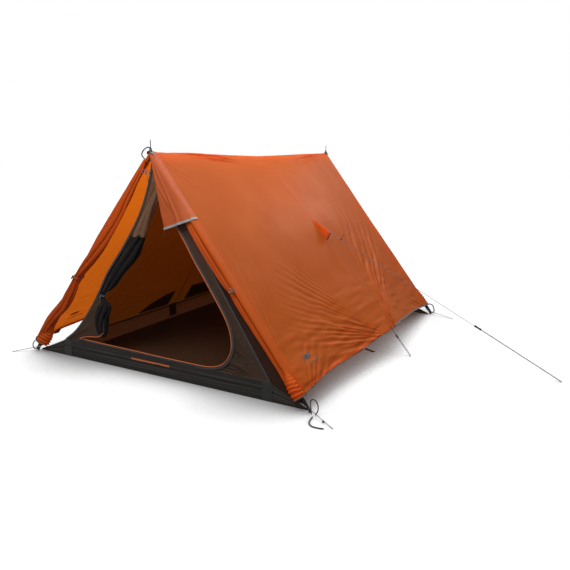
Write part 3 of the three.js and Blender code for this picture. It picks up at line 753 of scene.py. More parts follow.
def make_roof():
    """Both sides, with the cloth wrapped round each pole and back to the stitching: one continuous sheet."""
    share, y = np.meshgrid(ROWS, COLUMNS)
    points, slope = roof_shape(share, y)
    normal = normals_of(points)
    normal[:1], normal[-1:] = normal[1:2], normal[-2:-1]
    folds = np.where(share < 0, roof_folds(-1, y, slope), roof_folds(1, y, slope))
    points = points + normal * folds[..., None]
    front, rear = (sleeve_wrap(end, points[k], normal[k], slope[k]) for end, k in ((-1, 0), (1, -1)))
    whole = np.concatenate([np.array(front[::-1]), points, np.array(rear)])
    down = np.concatenate([slope[:1].repeat(len(front), 0), slope, slope[-1:].repeat(len(rear), 0)])
    piece = grid("fly_roof", whole, np.stack([metres(whole)[..., 0], down * np.sign(ROWS)[None]], -1))
    nodes = [f"fly_panel_{end}_{side}" for end in ENDS for side in SIDES]
    nodes += [f"{end}_{side}_sleeve" for end in ENDS for side in SIDES]
    dress(piece, FLY, "tent", nodes)
    return points, normals_of(points), whole


roof_points, roof_normals, roof_whole = make_roof()


def on_roof(signed_share, y, lift=0.0):
    """Points on the roof's outer face, with its normals, for shares of the slope and for y."""
    signed_share, y = np.broadcast_arrays(np.asarray(signed_share, float), np.asarray(y, float))
    row = np.interp(signed_share, ROWS, np.arange(len(ROWS)))
    column = np.interp(y, COLUMNS, np.arange(len(COLUMNS)))
    i = np.minimum(column.astype(int), len(COLUMNS) - 2)
    j = np.minimum(row.astype(int), len(ROWS) - 2)
    a, b = (column - i)[..., None], (row - j)[..., None]

    def blended(values):
        near, far = mix(values[i, j], values[i + 1, j], a), mix(values[i, j + 1], values[i + 1, j + 1], a)
        return mix(near, far, b)

    normal = unit(blended(roof_normals))
    return blended(roof_points) + normal * lift, normal


def roof_strip(name, signed_shares, ys, width):
    """A doubled strip of the fly's own cloth, sewn on the roof."""
    thickness = 0.0008
    path, normal = on_roof(signed_shares, ys, thickness / 2)
    dress(ribbon(name, path, normal, width, thickness), FLY)


MARKS = {"patch": [(0.896, 0.912), (-0.905, -0.830)], "line": [(0.931, 0.934), (-0.900, -0.780)]}


def make_roof_trim():
    """The middle seam, the sleeves' bound ends, the hems, and a plain patch and line low on each side."""
    roof_strip("middle_seam", ROWS, np.zeros(len(ROWS)), 0.006)
    for end_name, end in ENDS.items():
        for side_name, side in SIDES.items():
            wrap = roof_whole[:WRAP_ROWS + 1] if end < 0 else roof_whole[-WRAP_ROWS - 1:]
            path = spaced(wrap[:, 0 if side < 0 else -1], 40)
            dress(tube(f"sleeve_rim_{end_name}_{side_name}", path, 0.0036), HEM_TAPE)
    for side_name, side in SIDES.items():
        ys = COLUMNS[1:-1]
        width = mix(0.0045, 0.010, smooth((ys + 0.05) / 0.1))
        path, normal = on_roof(side * 0.9985, ys)
        dress(ribbon(f"hem_binding_{side_name}", path, normal, width, 0.0022), HEM_TAPE)
        roof_strip(f"hem_fold_{side_name}", np.full(90, side * 0.988), np.linspace(-1.02, -0.01, 90), 0.016)
        for part, (shares, ends) in MARKS.items():
            across, along = np.meshgrid(side * np.linspace(*shares, 6), np.linspace(*ends, 24))
            mark = grid(f"maker_{part}_{side_name}", on_roof(across, along, 0.0008)[0])
            dress(mark, PRINT)


make_roof_trim()

# ---- Hood over the top of the front door ----
HOOD_LENGTH = 0.410
HOOD_CORNER = (0.088, 0.812)
HOOD_TOP = (0.006, 1.190)
HINGE_TOP = np.array([HOOD_TOP[0], HOOD_PLANE, HOOD_TOP[1]])
HOOD_FREE = np.array([HOOD_CORNER[0], HOOD_PLANE - 0.004, HOOD_CORNER[1]])  # its free corner
LEG_DOWN = leg_down(1)
LEG_OUT = np.array([COS, 0, SIN])  # out of the right side of the roof


def hood_row(share):
    """Points across the hood, round the right pole and to its free edge, a share of the way down."""
    place = HINGE_TOP + LEG_DOWN * HOOD_LENGTH * share
    axis = on_leg(1, -1, (CROSSING - place[2]) / COS)
    free = mix(HINGE_TOP + X * -0.004, HOOD_FREE, share)
    reach = SLEEVE_RADIUS + 0.0024
    top = axis + LEG_OUT * (SLEEVE_RADIUS + 0.0022) + Y * 0.036
    ring = [axis + LEG_OUT * (SLEEVE_RADIUS + 0.0026) + Y * 0.010]
    ring += [axis + reach * (LEG_OUT * math.cos(a) - Y * math.sin(a)) for a in np.linspace(0, 1.45, 6)]
    flap = []
    for k in np.linspace(0, 1, 22)[1:]:
        point = mix(ring[-1], free, k)
        sag = 0.006 * math.sin(math.pi * k) * share
        ripple = 0.0050 * noise(k * 6, share * 5, 3) * share + 0.004 * hump(share - 1, 0.3) * math.sin(9 * k)
        ripple += 0.011 * share * hump(k - 0.30 - 0.1 * share, 0.10) - 0.008 * share * hump(k - 0.68, 0.12)
        ripple += 0.007 * hump(k - 1.15 + 0.9 * share, 0.09) * hump(share - 0.5, 0.4)
        point[1] -= 0.001 + max(0.0, sag * 0.6 + ripple)
        flap.append(point)
    return [top, mix(top, ring[0], 0.5), *ring, *flap]


def make_hood():
    """A flap from the sleeve's seam, round the pole and across the doorway, with a grey band below."""
    points = np.array([hood_row(share) for share in np.linspace(0.0, 1.0, 40)])
    piece = grid("hood_flap", points)
    piece.data.materials.append(HOOD)
    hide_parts("front_hood")
    edge = points[-1]
    heading = unit(np.gradient(edge, axis=0))
    face = unit(np.cross(heading, LEG_DOWN))
    band = ribbon("hood_band", edge - LEG_DOWN * 0.005 + face * 0.0006, face, 0.0115, 0.0018)
    band.data.materials.append(LIGHT_BAND)
    for soft in (piece, band):
        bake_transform(soft)
    thread = edge[-1] - Y * 0.002 + np.linspace(0.002, 0.036, 10)[:, None] * unit([0.12, 0, -1])
    cord("hood_thread", thread, body="front_hood", diameter=0.002,
         material=SHOCK_CORD)


make_hood()

# ---- Front doors, rolled back and tied ----
# Rows of (distance down the leg, half width, half depth).
ROLLS = {
    "left": [(0.038, 0.008, 0.005), (0.070, 0.014, 0.007), (0.180, 0.024, 0.012), (0.380, 0.036, 0.018),
             (0.620, 0.038, 0.023), (0.780, 0.026, 0.024), (0.850, 0.018, 0.022), (0.930, 0.028, 0.024),
             (1.060, 0.034, 0.024), (1.220, 0.028, 0.020), (1.340, 0.022, 0.016), (1.400, 0.017, 0.013)],
    "right": [(0.370, 0.014, 0.008), (0.425, 0.018, 0.009), (0.520, 0.020, 0.016), (0.680, 0.020, 0.017),
              (0.770, 0.017, 0.015), (0.808, 0.013, 0.012), (0.860, 0.015, 0.015), (1.000, 0.014, 0.016),
              (1.180, 0.012, 0.014), (1.320, 0.013, 0.014), (1.404, 0.019, 0.015)],
}
TIE_AT = {"left": 0.858, "right": 0.808}


def make_roll(side_name, side):
    """A door rolled along its pole: a spiral section with folds that run along it, pinched at the tie."""
    table = ROLLS[side_name]
    inward = leg_inward(side)
    distance = np.linspace(table[0][0], table[-1][0], 190)
    half_width, half_depth = read(table, distance)
    d, a = np.meshgrid(distance, circle(72), indexing="ij")
    lobes = 5 if side < 0 else 4
    wander = 0.55 * noise(d * 2.4, 0, side + 4) + 0.22 * noise(d * 8, 1, side + 5)
    lobe = np.abs(np.cos(lobes / 2 * (a - 0.35 + wander))) ** 0.4
    depth = 0.52 + 0.12 * noise(d * 3.1, a, side + 12)
    pinch = hump(d - TIE_AT[side_name], 0.14)
    bumps = 0.04 * noise(a * 2.2, d * 9, side + 15) + 0.03 * noise(a * 5, d * 30, side + 16)
    bumps += 0.06 * pinch * np.cos(9 * a + 2 * noise(d * 4, 1, side))
    scale = np.minimum(1 - depth * (1 - lobe) + bumps - 0.02, 1.0)
    middle = on_leg(side, -1, 0) + distance[:, None] * leg_down(side)
    if side < 0:  # in front of its sleeve, and slumped past it near the foot
        slump = 0.028 * smooth((distance - 1.02) / 0.25)
        middle = middle + inward * (half_width - SLEEVE_OUTSIDE - slump)[:, None]
        middle = middle - Y * (SLEEVE_OUTSIDE + half_depth)[:, None]
    else:  # beside its sleeve, under the hood
        middle = middle + inward * (SLEEVE_OUTSIDE + half_width)[:, None]
    points = (middle[:, None] + inward * (half_width[:, None] * scale * np.cos(a))[..., None]
              + Y * (half_depth[:, None] * scale * np.sin(a))[..., None])
    name = f"front_door_roll_{side_name}"
    piece = dress(loft(name + "_cloth", points, 60), DOOR, "tent", [name])


def make_tie(side_name, side):
    """A tape loop round the pole and the roll, the small loop that holds the toggle, and the toggle."""
    at = TIE_AT[side_name]
    inward, down = leg_inward(side), leg_down(side)
    half_width, half_depth = read(ROLLS[side_name], at)
    if side < 0:
        half, depth = half_width + 0.003, half_depth + SLEEVE_RADIUS + 0.002
        middle = on_leg(side, -1, at) + inward * (half_width - SLEEVE_OUTSIDE) * 0.7 - Y * half_depth
    else:
        half, depth = half_width + SLEEVE_RADIUS + 0.001, half_depth + 0.003
        middle = on_leg(side, -1, at) + inward * (half - SLEEVE_RADIUS - 0.001)
    angle = np.linspace(0, 2 * math.pi, 41)[:, None]
    path = middle + inward * half * np.cos(angle) + Y * depth * np.sin(angle)
    path = path + down * 0.004 * np.sin(2 * angle)
    band = ribbon(f"door_tie_{side_name}", path, unit(path - middle), 0.009, 0.0012)
    dress(band, ORANGE_TAPE)
    toggle = centre(f"door_toggle_{side_name}")
    front = np.array([toggle[0], middle[1] - depth, toggle[2]])
    angle = np.linspace(0.3, 2 * math.pi - 0.3, 15)[:, None]
    reach = abs(front[1] - toggle[1]) / 2 + 0.003
    loop = mix(front, toggle, 0.5) + Y * reach * np.cos(angle) + inward * 0.0042 * np.sin(angle)
    dress(tube(f"toggle_loop_{side_name}", loop, 0.0011), SHOCK_CORD)
    half = [(0, 0.0130), (0.0022, 0.0128), (0.0038, 0.0112), (0.0045, 0.0085), (0.0043, 0.0045),
            (0.0032, 0.0018)]
    profile = [*[(radius, -along) for radius, along in half], (0.0030, 0), *half[::-1]]
    body = lathe(f"door_toggle_{side_name}_part", profile, toggle, down, 24, 60)
    finish = GREY_PLASTIC if side > 0 else PLASTIC
    name = f"door_toggle_{side_name}"
    dress(body, finish, name, [name])


for side_name, side in SIDES.items():
    make_roll(side_name, side)
    make_tie(side_name, side)


# ---- A-frames ----
SECTION_ENDS = [0.0223, 0.510, 1.000, 1.452]  # down the leg


def make_pole(end_name, end, side_name, side):
    """Three tubes with a swaged ring at each joint, and the plastic foot."""
    down = leg_down(side)
    leg = f"{end_name}_{side_name}"
    r, rim = POLE_RADIUS, 0.0004
    for part, top, foot in zip(("upper", "middle", "lower"), SECTION_ENDS, SECTION_ENDS[1:]):
        length = foot - top - 0.0003
        profile = [(r - 0.0012, 0.0003), (r - rim, 0.0003), (r, 0.001), (r, length - 0.024),
                   (r + rim, length - 0.023), (r + rim, length - 0.001), (r, length), (r - 0.0012, length)]
        tube_part = lathe(f"{leg}_pole_{part}_tube", profile, on_leg(side, end, top), down, 24)
        dress(tube_part, ALUMINIUM, "tent", [f"{leg}_pole_{part}"])
    start = on_leg(side, end, SECTION_ENDS[3])
    reach = (CROSSING - 0.006) / COS - SECTION_ENDS[3]
    ball = [(0.006 * math.sin(a), reach - 0.006 * math.cos(a)) for a in np.linspace(0.62, math.pi, 9)]
    profile = [(0.0048, 0.0003), (0.0075, 0.0006), (0.0078, 0.002), (0.0078, 0.0055), (0.0062, 0.0075),
               (0.0040, 0.011), (0.0036, 0.016), *ball]
    foot_part = lathe(f"{leg}_foot", profile, start, down, 24, 60)
    dress(foot_part, PLASTIC, "tent", [f"{leg}_pole_tip"])


def make_apex(end_name, end):
    """The hub stays as it is; its cap and pin are turned finely."""
    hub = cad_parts[f"{end_name}_hub"]
    hub.data.materials.clear()
    hub.data.materials.append(PLASTIC)
    start = np.array([0, end * HALF_LENGTH, APEX + 0.0005])
    profile = [(0.0022, 0.0005), (0.0085, 0.0010), (0.0080, 0.0040), (0.0066, 0.0060), (0.0058, 0.0130),
               (0.0052, 0.0152), (0.0040, 0.0160), (0.0022, 0.0160)]
    knob = lathe(f"{end_name}_cap_knob", profile, start, Z, 32)
    radius, angle = np.meshgrid(np.linspace(0.003, 0.0195, 12), np.linspace(0, 2 * math.pi, 49))
    x, y = radius * np.cos(angle), radius * np.sin(angle)
    fall = (np.hypot(x, 0.006) - 0.006) * COS / SIN * 0.97
    plate = grid(f"{end_name}_cap_plate", start + np.stack([x, y, 0.0012 - fall], -1))
    for part in (knob, plate):
        replaced = [f"{end_name}_cap"] if part is knob else []
        dress(part, PLASTIC, f"{end_name}_cap", replaced)
    low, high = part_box(f"{end_name}_pin")
    length = high.z - low.z
    profile = [(0.0021, 0), (0.0021, length - 0.006), (0.0016, length - 0.002), (0.0006, length)]
    pin = lathe(f"{end_name}_pin_part", profile, (0, end * HALF_LENGTH, low.z), Z, 16)
    dress(pin, STEEL, "tent", [f"{end_name}_pin"])


for end_name, end in ENDS.items():
    make_apex(end_name, end)
    for side_name, side in SIDES.items():
        make_pole(end_name, end, side_name, side)

# ---- Inner tent ----
# Rows of (height, how far the tied door pulls the left wall's front edge in).
DOOR_PULL = [(0.100, 0.004), (0.150, 0.040), (0.225, 0.064), (0.399, 0.078), (0.530, 0.070), (0.700, 0.090),
             (0.880, 0.090), (1.100, 0.028), (1.160, 0)]
PULL_LENGTH = 0.42
WALL_END = -FRONT_WALL - 0.0023
ZIP_RIGHT = [(0.018, 1.060), (0.082, 0.920), (0.143, 0.828), (0.198, 0.747), (0.253, 0.658), (0.302, 0.590),
             (0.345, 0.527), (0.394, 0.455), (0.436, 0.387), (0.460, 0.332), (0.471, 0.276), (0.469, 0.227),
             (0.447, 0.177), (0.416, 0.145), (0.365, 0.123), (0.308, 0.115), (0.240, 0.114)]
ZIP_SILL = [(0.240, 0.114), (0.048, 0.1145), (-0.200, 0.119), (-0.579, 0.124)]
ZIP_LEFT = [(-0.579, 0.124), (-0.548, 0.136), (-0.500, 0.146), (-0.458, 0.152), (-0.423, 0.160),
            (-0.392, 0.184)]


def inner_x(height):
    """Half of the inner tent's width at a height."""
    return TUB_WIDTH * (INNER_HEIGHT - height) / (INNER_HEIGHT - TUB_HEIGHT)


def pulled_x(height, y):
    """The left wall, drawn towards the middle at its front by the tied door."""
    near = np.clip((-y - (-FRONT_WALL) + PULL_LENGTH) / PULL_LENGTH, 0, 1)
    return -(inner_x(height) - read(DOOR_PULL, height)[0] * near**2)


def wall_folds(y, z, seed):
    """Slack folds of the inner wall, which lean from the ridge down to the front corner."""
    height = fan(y, 1.2 - z, (-1.15, 1.20), 322, 34, (0.10, 1.6), 9, 0.013, seed)
    height += fan(y, 1.2 - z, (1.15, 1.20), 218, 30, (0.10, 1.4), 8, 0.009, seed + 1)
    height += 0.004 * noise(y * 3, z * 4, seed + 2)
    return height * hump(z - 0.6, 0.56) ** 0.5


def wall_point(side, y, z, inset=0.0):
    """A point on an inner side wall's room side."""
    y, z = np.asarray(y, float), np.asarray(z, float)
    x = pulled_x(z, y) if side < 0 else inner_x(z)
    fold = np.maximum(0.0, wall_folds(y, z, 30 + side)) * 0.9
    return places(x - side * (0.0015 + inset) - side * fold, y, z)


def make_inner_wall(side_name, side):
    height = np.linspace(INNER_HEIGHT - 0.012, TUB_HEIGHT, 110)
    z, y = np.meshgrid(height, np.linspace(-WALL_END, WALL_END, 200))
    name = f"inner_wall_{side_name}"
    piece = dress(grid(name + "_cloth", wall_point(side, y, z)), INNER, "tent", [name])


def make_window(name, side_name, side, bottom, top):
    """A dark net panel low in a side wall, between two (y, z) lines."""
    rows = mix(spaced(bottom, 60)[:, None], spaced(top, 60)[:, None], np.linspace(0, 1, 12)[None, :, None])
    points = wall_point(side, rows[..., 0], rows[..., 1], 0.003)
    window = dress(grid(f"window_{name}_{side_name}", points), WINDOW)


def make_wall_seam(side_name, side):
    """The seam down the middle of a side wall, and a dark band below it on the tub."""
    line = between((-0.057, 0.440), (-0.021, 0.106), 30)
    path = wall_point(side, line[:, 0], line[:, 1], 0.007)
    seam = ribbon(f"wall_seam_{side_name}", path, unit([-side * 0.83, 0, -0.55]), 0.006, 0.0012)
    dress(seam, SEAM_DARK)
    top = np.array([side * (TUB_WIDTH - 0.007), -0.040, 0.108])
    strap = ribbon(f"tub_dark_band_{side_name}", between(top, top - Z * 0.090, 12), -side * X, 0.075, 0.0014)
    dress(strap, BLACK_TAPE)


for side_name, side in SIDES.items():
    make_inner_wall(side_name, side)
for side_name, side in SIDES.items():
    make_window("front", side_name, side, [(-0.413, 0.112), (-0.103, 0.112)],
                [(-0.413, 0.124), (-0.343, 0.166), (-0.277, 0.190), (-0.208, 0.213), (-0.103, 0.226)])
    make_window("rear", side_name, side, [(0.083, 0.112), (0.420, 0.112)],
                [(0.083, 0.228), (0.254, 0.224), (0.350, 0.215), (0.420, 0.190)])
    make_wall_seam(side_name, side)


def make_front_wall():
    """Net round the doorway: one sheet down the right, along the sill and up to the tied door."""
    behind_bundle = [(-0.386, 0.250), (-0.392, 0.330), (-0.402, 0.392)]
    inner = np.vstack([spline(ZIP_RIGHT, 130), spaced(ZIP_SILL, 60), spaced(ZIP_LEFT + behind_bundle, 60)])
    left = [(float(pulled_x(z, FRONT_WALL)), z) for z in (0.100, 0.16, 0.23, 0.30, 0.35, 0.405)]
    right_corner, left_corner = (TUB_WIDTH, TUB_HEIGHT), (-TUB_WIDTH, TUB_HEIGHT)
    outer = np.vstack([spaced([(inner_x(1.12) - 0.002, 1.12), right_corner], 130),
                       spaced([right_corner, left_corner], 60), spaced(left, 60)])
    share = np.linspace(0, 1, 18)[None, :, None]
    flat = mix(inner[:, None], outer[:, None], share)
    x, z = flat[..., 0], flat[..., 1]
    folds = fan(x, z, (0.74, 0.07), 155, 42, (0.05, 0.55), 11, 0.016, 51)
    folds += fan(x, z, (-0.72, 0.08), 40, 34, (0.05, 0.5), 7, 0.012, 52) + 0.003 * noise(x * 9, z * 7, 53)
    y = FRONT_WALL + 0.001 + np.abs(folds) * hump(share[..., 0] - 0.5, 0.55)
    piece = grid("inner_wall_front_net", places(x, y, z))
    dress(piece, NET, "tent", ["inner_wall_front"])


make_front_wall()


def make_side_panel():
    """A dark net sheet between the inner tent's right front edge and the pole, painted shade: it stands in
    for the shaded inside of the fly there.
    """
    z, share = np.meshgrid(np.linspace(0.030, 1.02, 60), np.linspace(0, 1, 10), indexing="ij")
    inside = inner_x(np.maximum(z, TUB_HEIGHT)) + np.maximum(0, TUB_HEIGHT - z) * 1.8
    x = mix(inside - 0.004, leg_x(z) - 0.006, share)
    y = mix(FRONT_WALL + 0.004, -HALF_LENGTH + 0.009, share)
    y = y + 0.004 * noise(x * 12, z * 5, 55) * np.sin(math.pi * share)
    panel = dress(grid("inner_side_panel", places(x, y, z)), NET_PAINTED_SHADE)


make_side_panel()


def make_zip():
    """Tape and piping round the inner door's opening, and the bound edges of the side walls."""
    right, sill, left = spline(ZIP_RIGHT, 150), spaced(ZIP_SILL, 60), spline(ZIP_LEFT, 40)
    for name, flat, width in (("right", right, 0.015), ("sill", sill, 0.012)):
        path = in_plane(flat, FRONT_WALL - 0.0012)
        outward = np.cross(unit(np.gradient(path, axis=0)), -Y)
        outward = outward * np.sign((outward @ (X - Z)).mean())
        tape = ribbon(f"zip_tape_{name}", path + outward * width / 2, -Y, width, 0.0014)
        dress(tape, ZIP_TAPE)
    loop = np.vstack([right, sill[1:]])
    for name, flat, radius in (("zip_piping", loop, 0.0026), ("zip_piping_door", left, 0.0025)):
        dress(tube(name, in_plane(flat, FRONT_WALL - 0.0030), radius, 10), PIPING)
    height = np.linspace(0.102, 1.140, 120)
    edges = (("left", pulled_x(height, FRONT_WALL), 0.011), ("right", inner_x(height) - 0.004, 0.010))
    for name, x, width in edges:
        edge = places(x, FRONT_WALL - 0.0005, height)
        dress(ribbon(f"inner_edge_{name}", edge, -Y, width, 0.002), ZIP_TAPE)


make_zip()


def make_slider(name, place, across, along, out):
    """A zip slider: two plates on a wedge, with a bridge for its puller."""
    outline = [(-0.0055, -0.009), (0.0055, -0.009), (0.0072, 0.000), (0.0060, 0.009), (-0.0060, 0.009),
               (-0.0072, 0.000)]
    plates = [prism(f"{name}_plate{k}", outline, place + out * k, across, along, 0.0011, 0.0004)
              for k in (0.0008, 0.0040)]
    wedge = box_outline(0.003, 0.007)
    wedge = prism(name + "_wedge", wedge, place + out * 0.0024, across, along, 0.0026, 0.0004)
    bridge = [place + out * (0.0044 + 0.0022 * math.sin(a)) - along * 0.0055 * math.cos(a)
              for a in np.linspace(0, math.pi, 11)]
    piece = joined(name + "_part", [*plates, wedge, tube(name + "_bridge", bridge, 0.0007)])
    dress(piece, ZIP_METAL, name, [name])


def make_zip_sliders():
    """Both zips' sliders, each against its own cloth, and the inner one's puller."""
    front_place = centre("inner_zip_slider")
    front_place[1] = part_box("inner_zip_slider")[1].y
    make_slider("inner_zip_slider", front_place, Z, X, -Y)
    rear_place = np.array([0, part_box("rear_zip_slider")[0].y, centre("rear_zip_slider")[2]])
    make_slider("rear_zip_slider", rear_place, -X, Z, Y)
    name = "inner_zip_puller"
    outline = [(-0.0028, 0.0138), (0.0028, 0.0138), (0.0040, -0.010), (0.0028, -0.0130), (-0.0028, -0.0130),
               (-0.0040, -0.010)]
    puller = prism(name + "_part", outline, centre(name), X, Z, 0.0015, 0.0004)
    dress(puller, ZIP_METAL, name, [name])


make_zip_sliders()

# ---- Inner door, gathered and tied ----
# Rows of (height, x, half width, half depth).
BUNDLE = [(0.155, -0.412, 0.014, 0.012), (0.175, -0.415, 0.032, 0.024), (0.220, -0.422, 0.048, 0.032),
          (0.275, -0.415, 0.050, 0.032), (0.346, -0.389, 0.042, 0.026), (0.386, -0.401, 0.014, 0.012),
          (0.412, -0.396, 0.014, 0.012), (0.442, -0.362, 0.030, 0.020), (0.530, -0.293, 0.048, 0.026),
          (0.650, -0.185, 0.060, 0.030), (0.765, -0.120, 0.046, 0.028), (0.900, -0.043, 0.032, 0.024),
          (0.972, 0.000, 0.025, 0.018), (1.041, 0.026, 0.018, 0.014), (1.090, 0.014, 0.008, 0.008)]
BUNDLE_PLANE = -HALF_LENGTH + 0.030


def make_bundle(name, low, high, folds, material, seed, replaces=()):
    """Part of the gathered door, between two heights: a soft body with deep folds along it."""
    height = np.linspace(low, high, int((high - low) / 0.005))
    x, half_width, half_depth = read(BUNDLE, height)[..., None]
    h, a = np.meshgrid(height, circle(84), indexing="ij")
    wander = 1.6 * noise(h * 5, 0, seed) + 0.6 * noise(h * 13, a * 0.7, seed + 1)
    crease = np.abs(np.sin(folds / 2 * a + wander)) ** 0.7
    deep = 0.22 + 0.16 * noise(h * 4, a * folds / 6, seed + 3)
    scale = 0.96 - deep * (1 - crease) * 1.4 + 0.05 * noise(h * 26, a * 2, seed + 2)
    scale = np.minimum(scale, 1.03)
    points = places(x + half_width * scale * np.cos(a), BUNDLE_PLANE + half_depth * scale * np.sin(a), h)
    dress(loft(name, points, 70), material, "tent", replaces)


make_bundle("inner_door_gathered", 0.400, 0.765, 6, NET_DARK, 61, ["inner_door_bundle"])
make_bundle("inner_door_net", 0.755, 1.090, 4, NET_SHEER, 62)
make_bundle("inner_door_tail", 0.155, 0.404, 8, NET_DARK, 63)


def make_web(name, low, high, material):
    """The gathered door's cloth between the wall's front edge and the bundle."""
    z, share = np.meshgrid(np.linspace(low, high, 60), np.linspace(0, 1, 16), indexing="ij")
    middle, _, half_depth = read(BUNDLE, z)
    x = mix(pulled_x(z, FRONT_WALL) + 0.002, middle, share)
    ripple = 0.006 * noise(share * 4, z * 5, 64) * np.sin(math.pi * share)
    y = mix(FRONT_WALL + 0.002, BUNDLE_PLANE + 0.6 * half_depth, share) + ripple
    web = dress(grid(name, places(x, y, z)), material)


make_web("inner_door_web_upper", 0.755, 1.130, NET_SHEER)
make_web("inner_door_web_lower", 0.395, 0.760, NET_DARK)


def make_bundle_tie():
    """The grey tape round the gathered door's waist, and its toggle."""
    x, half_width, half_depth = read(BUNDLE, 0.399)
    angle = np.linspace(0, 2 * math.pi, 33)[:, None]
    middle = np.array([x, BUNDLE_PLANE, 0.399])
    path = middle + X * (half_width + 0.001) * np.cos(angle) + Y * (half_depth + 0.001) * np.sin(angle)
    dress(ribbon("inner_door_tie", path, unit(path - middle), 0.008, 0.0014), GREY_TAPE)
    half = [(0, 0.012), (0.0035, 0.0115), (0.0045, 0.006)]
    profile = [*[(radius, -along) for radius, along in half], (0.003, 0), *half[::-1]]
    toggle = lathe("inner_door_toggle", profile, middle - Y * (half_depth + 0.007), Z + 0.3 * X)
    dress(toggle, GREY_PLASTIC)


make_bundle_tie()


def make_rear_wall():
    """Net triangle at the far end."""
    share, across = np.meshgrid(np.linspace(0, 1, 60), np.linspace(-1, 1, 70))
    z = mix(INNER_HEIGHT - 0.004, TUB_HEIGHT, share)
    x = across * np.maximum(inner_x(z), 0.0015)
    folds = fan(x, z, (0.72, 0.06), 130, 40, (0.05, 0.8), 8, 0.004, 71)
    folds += fan(x, z, (-0.72, 0.06), 50, 40, (0.05, 0.8), 8, 0.004, 72)
    y = REAR_WALL - 0.001 - np.abs(folds) * hump(across, 1.0)
    piece = grid("inner_wall_rear_net", places(x, y, z))
    dress(piece, NET, "tent", ["inner_wall_rear"])


make_rear_wall()


# ---- Groundsheet ----
GUSSET_REACH = 0.908
GUSSET_TIP = 0.008  # height at a foot


def make_tub_floor():
    """The inside face of the floor, with low waves that die out at its edges."""
    end = TUB_END - 0.003
    x, y = np.meshgrid(np.linspace(-TUB_WIDTH + 0.002, TUB_WIDTH - 0.002, 90), np.linspace(-end, end, 130))
    waves = 0.0016 * (1 + noise(x * 7, y * 7, 81)) + 0.0012 * (1 + noise(x * 22, y * 18, 82))
    z = 0.0022 + waves * hump(x, TUB_WIDTH) ** 0.3 * hump(y, TUB_END) ** 0.3
    # Its colour is painted light: dark brown for the orange light and shade inside the tent.
    floor = dress(grid("tub_floor", places(x, y, z)), FLOOR_INSIDE_PAINTED_LIGHT, "tent", ["groundsheet"])


def make_tub_side(side_name, side):
    """A long wall of the tub, and the seam along its top."""
    end = TUB_END - 0.001
    y, share = np.meshgrid(np.linspace(-end, end, 200), np.linspace(0, 1, 14), indexing="ij")
    bulge = 0.0035 * np.sin(math.pi * share) * (1 + noise(y * 6, share, 83 + side))
    crease = 0.002 * noise(y * 30, share * 4, 84 + side) * share * (1 - share)
    points = places(side * (TUB_WIDTH - 0.001 - bulge - crease), y, 0.001 + share * (TUB_HEIGHT - 0.001))
    # Painted light in the wall's colour: lighter and browner than the groundsheet, for the light inside the
    # tent.
    wall = dress(grid(f"tub_wall_{side_name}", points), TUB_SIDE_PAINTED_LIGHT)
    seam = places(side * (TUB_WIDTH - 0.0012), np.linspace(-TUB_END, TUB_END, 60), TUB_HEIGHT - 0.004)
    dress(ribbon(f"tub_seam_{side_name}", seam, X, 0.010, 0.0016), FLOOR)


def make_tub_end(end_name, end):
    """An end wall with two creases along it, patches at its corners and gussets that run out to the feet."""
    x = np.linspace(-GUSSET_REACH, GUSSET_REACH, 300)
    taper = np.clip((np.abs(x) - TUB_WIDTH) / (GUSSET_REACH - TUB_WIDTH), 0, 1)
    top = mix(TUB_HEIGHT, GUSSET_TIP, taper ** 0.9)
    xs, s = np.meshgrid(x, np.linspace(0, 1, 22), indexing="ij")
    z = 0.0006 + s * (top[:, None] - 0.0006)
    wave = 0.0065 * hump(s - 0.66, 0.10) - 0.0050 * hump(s - 0.50, 0.09) + 0.0050 * hump(s - 0.86, 0.07)
    wave = wave + 0.0035 * hump(s - 0.22 - 0.05 * noise(xs * 2, 0, 90), 0.08)
    wave = wave * (0.7 + 0.5 * noise(xs * 5, s * 2, 91)) + 0.0012 * noise(xs * 14, s * 5, 92)
    face = end * (-FRONT_WALL - 0.0004)
    y = face - end * 0.0012 + end * wave * (1 - taper)[:, None] * np.sin(math.pi * s) ** 0.5 * 0.8
    wall = dress(grid(f"tub_end_{end_name}", places(xs, y, z)), FLOOR)
    seam = places(x, face, top - 0.003)[40:-40]
    dress(ribbon(f"tub_end_seam_{end_name}", seam, end * Y, 0.007, 0.0022), FLOOR)
    outline = box_outline(0.055, 0.094, 0.004)
    for side_name, side in SIDES.items():
        middle = np.array([side * (TUB_WIDTH - 0.020), face, 0.052])
        patch = prism(f"tub_patch_{end_name}_{side_name}", outline, middle, X, Z, 0.0028, 0.0008)
        dress(patch, BLACK_TAPE)


make_tub_floor()
for side_name, side in SIDES.items():
    make_tub_side(side_name, side)
for end_name, end in ENDS.items():
    make_tub_end(end_name, end)
stripe = places(np.linspace(-0.190, 0.075, 40), FRONT_WALL - 0.0016, 0.071)
dress(ribbon("tub_stripe", stripe, -Y, 0.009, 0.0012), PIPING)


# ---- Rear doors ----
REAR_HEM = 0.080


def make_rear_door(side_name, side):
    """A closed half with its folds and its hem."""
    share, across = np.meshgrid(np.linspace(0, 1, 90), np.linspace(0, 1, 50))
    z = mix(1.130, REAR_HEM, share)
    x = mix(0.0004, leg_x(z) - (SLEEVE_RADIUS + 0.001) / COS, across)
    folds = fan(x, z, (0.86, 0.05), 140, 30, (0.06, 1.0), 7, 0.004, 101 + side)
    folds += fan(x, z, (0.0, 0.06), 75, 22, (0.05, 0.9), 5, 0.003, 103 + side)
    folds += 0.003 * noise(x * 5, z * 5, 105 + side)
    y = DOOR_PLANE + 0.0008 - np.abs(folds) * hump(across - 0.5, 0.52)
    name = f"rear_door_{side_name}"
    door = dress(grid(name + "_cloth", places(side * x, y, z)), FLY, "tent", [name])
    height = REAR_HEM + 0.004
    hem = places(side * np.linspace(0.0, leg_x(height) - 0.013, 40), DOOR_PLANE + 0.0006, height)
    dress(ribbon(f"rear_door_hem_{side_name}", hem, Y, 0.011, 0.0022), HEM_TAPE)


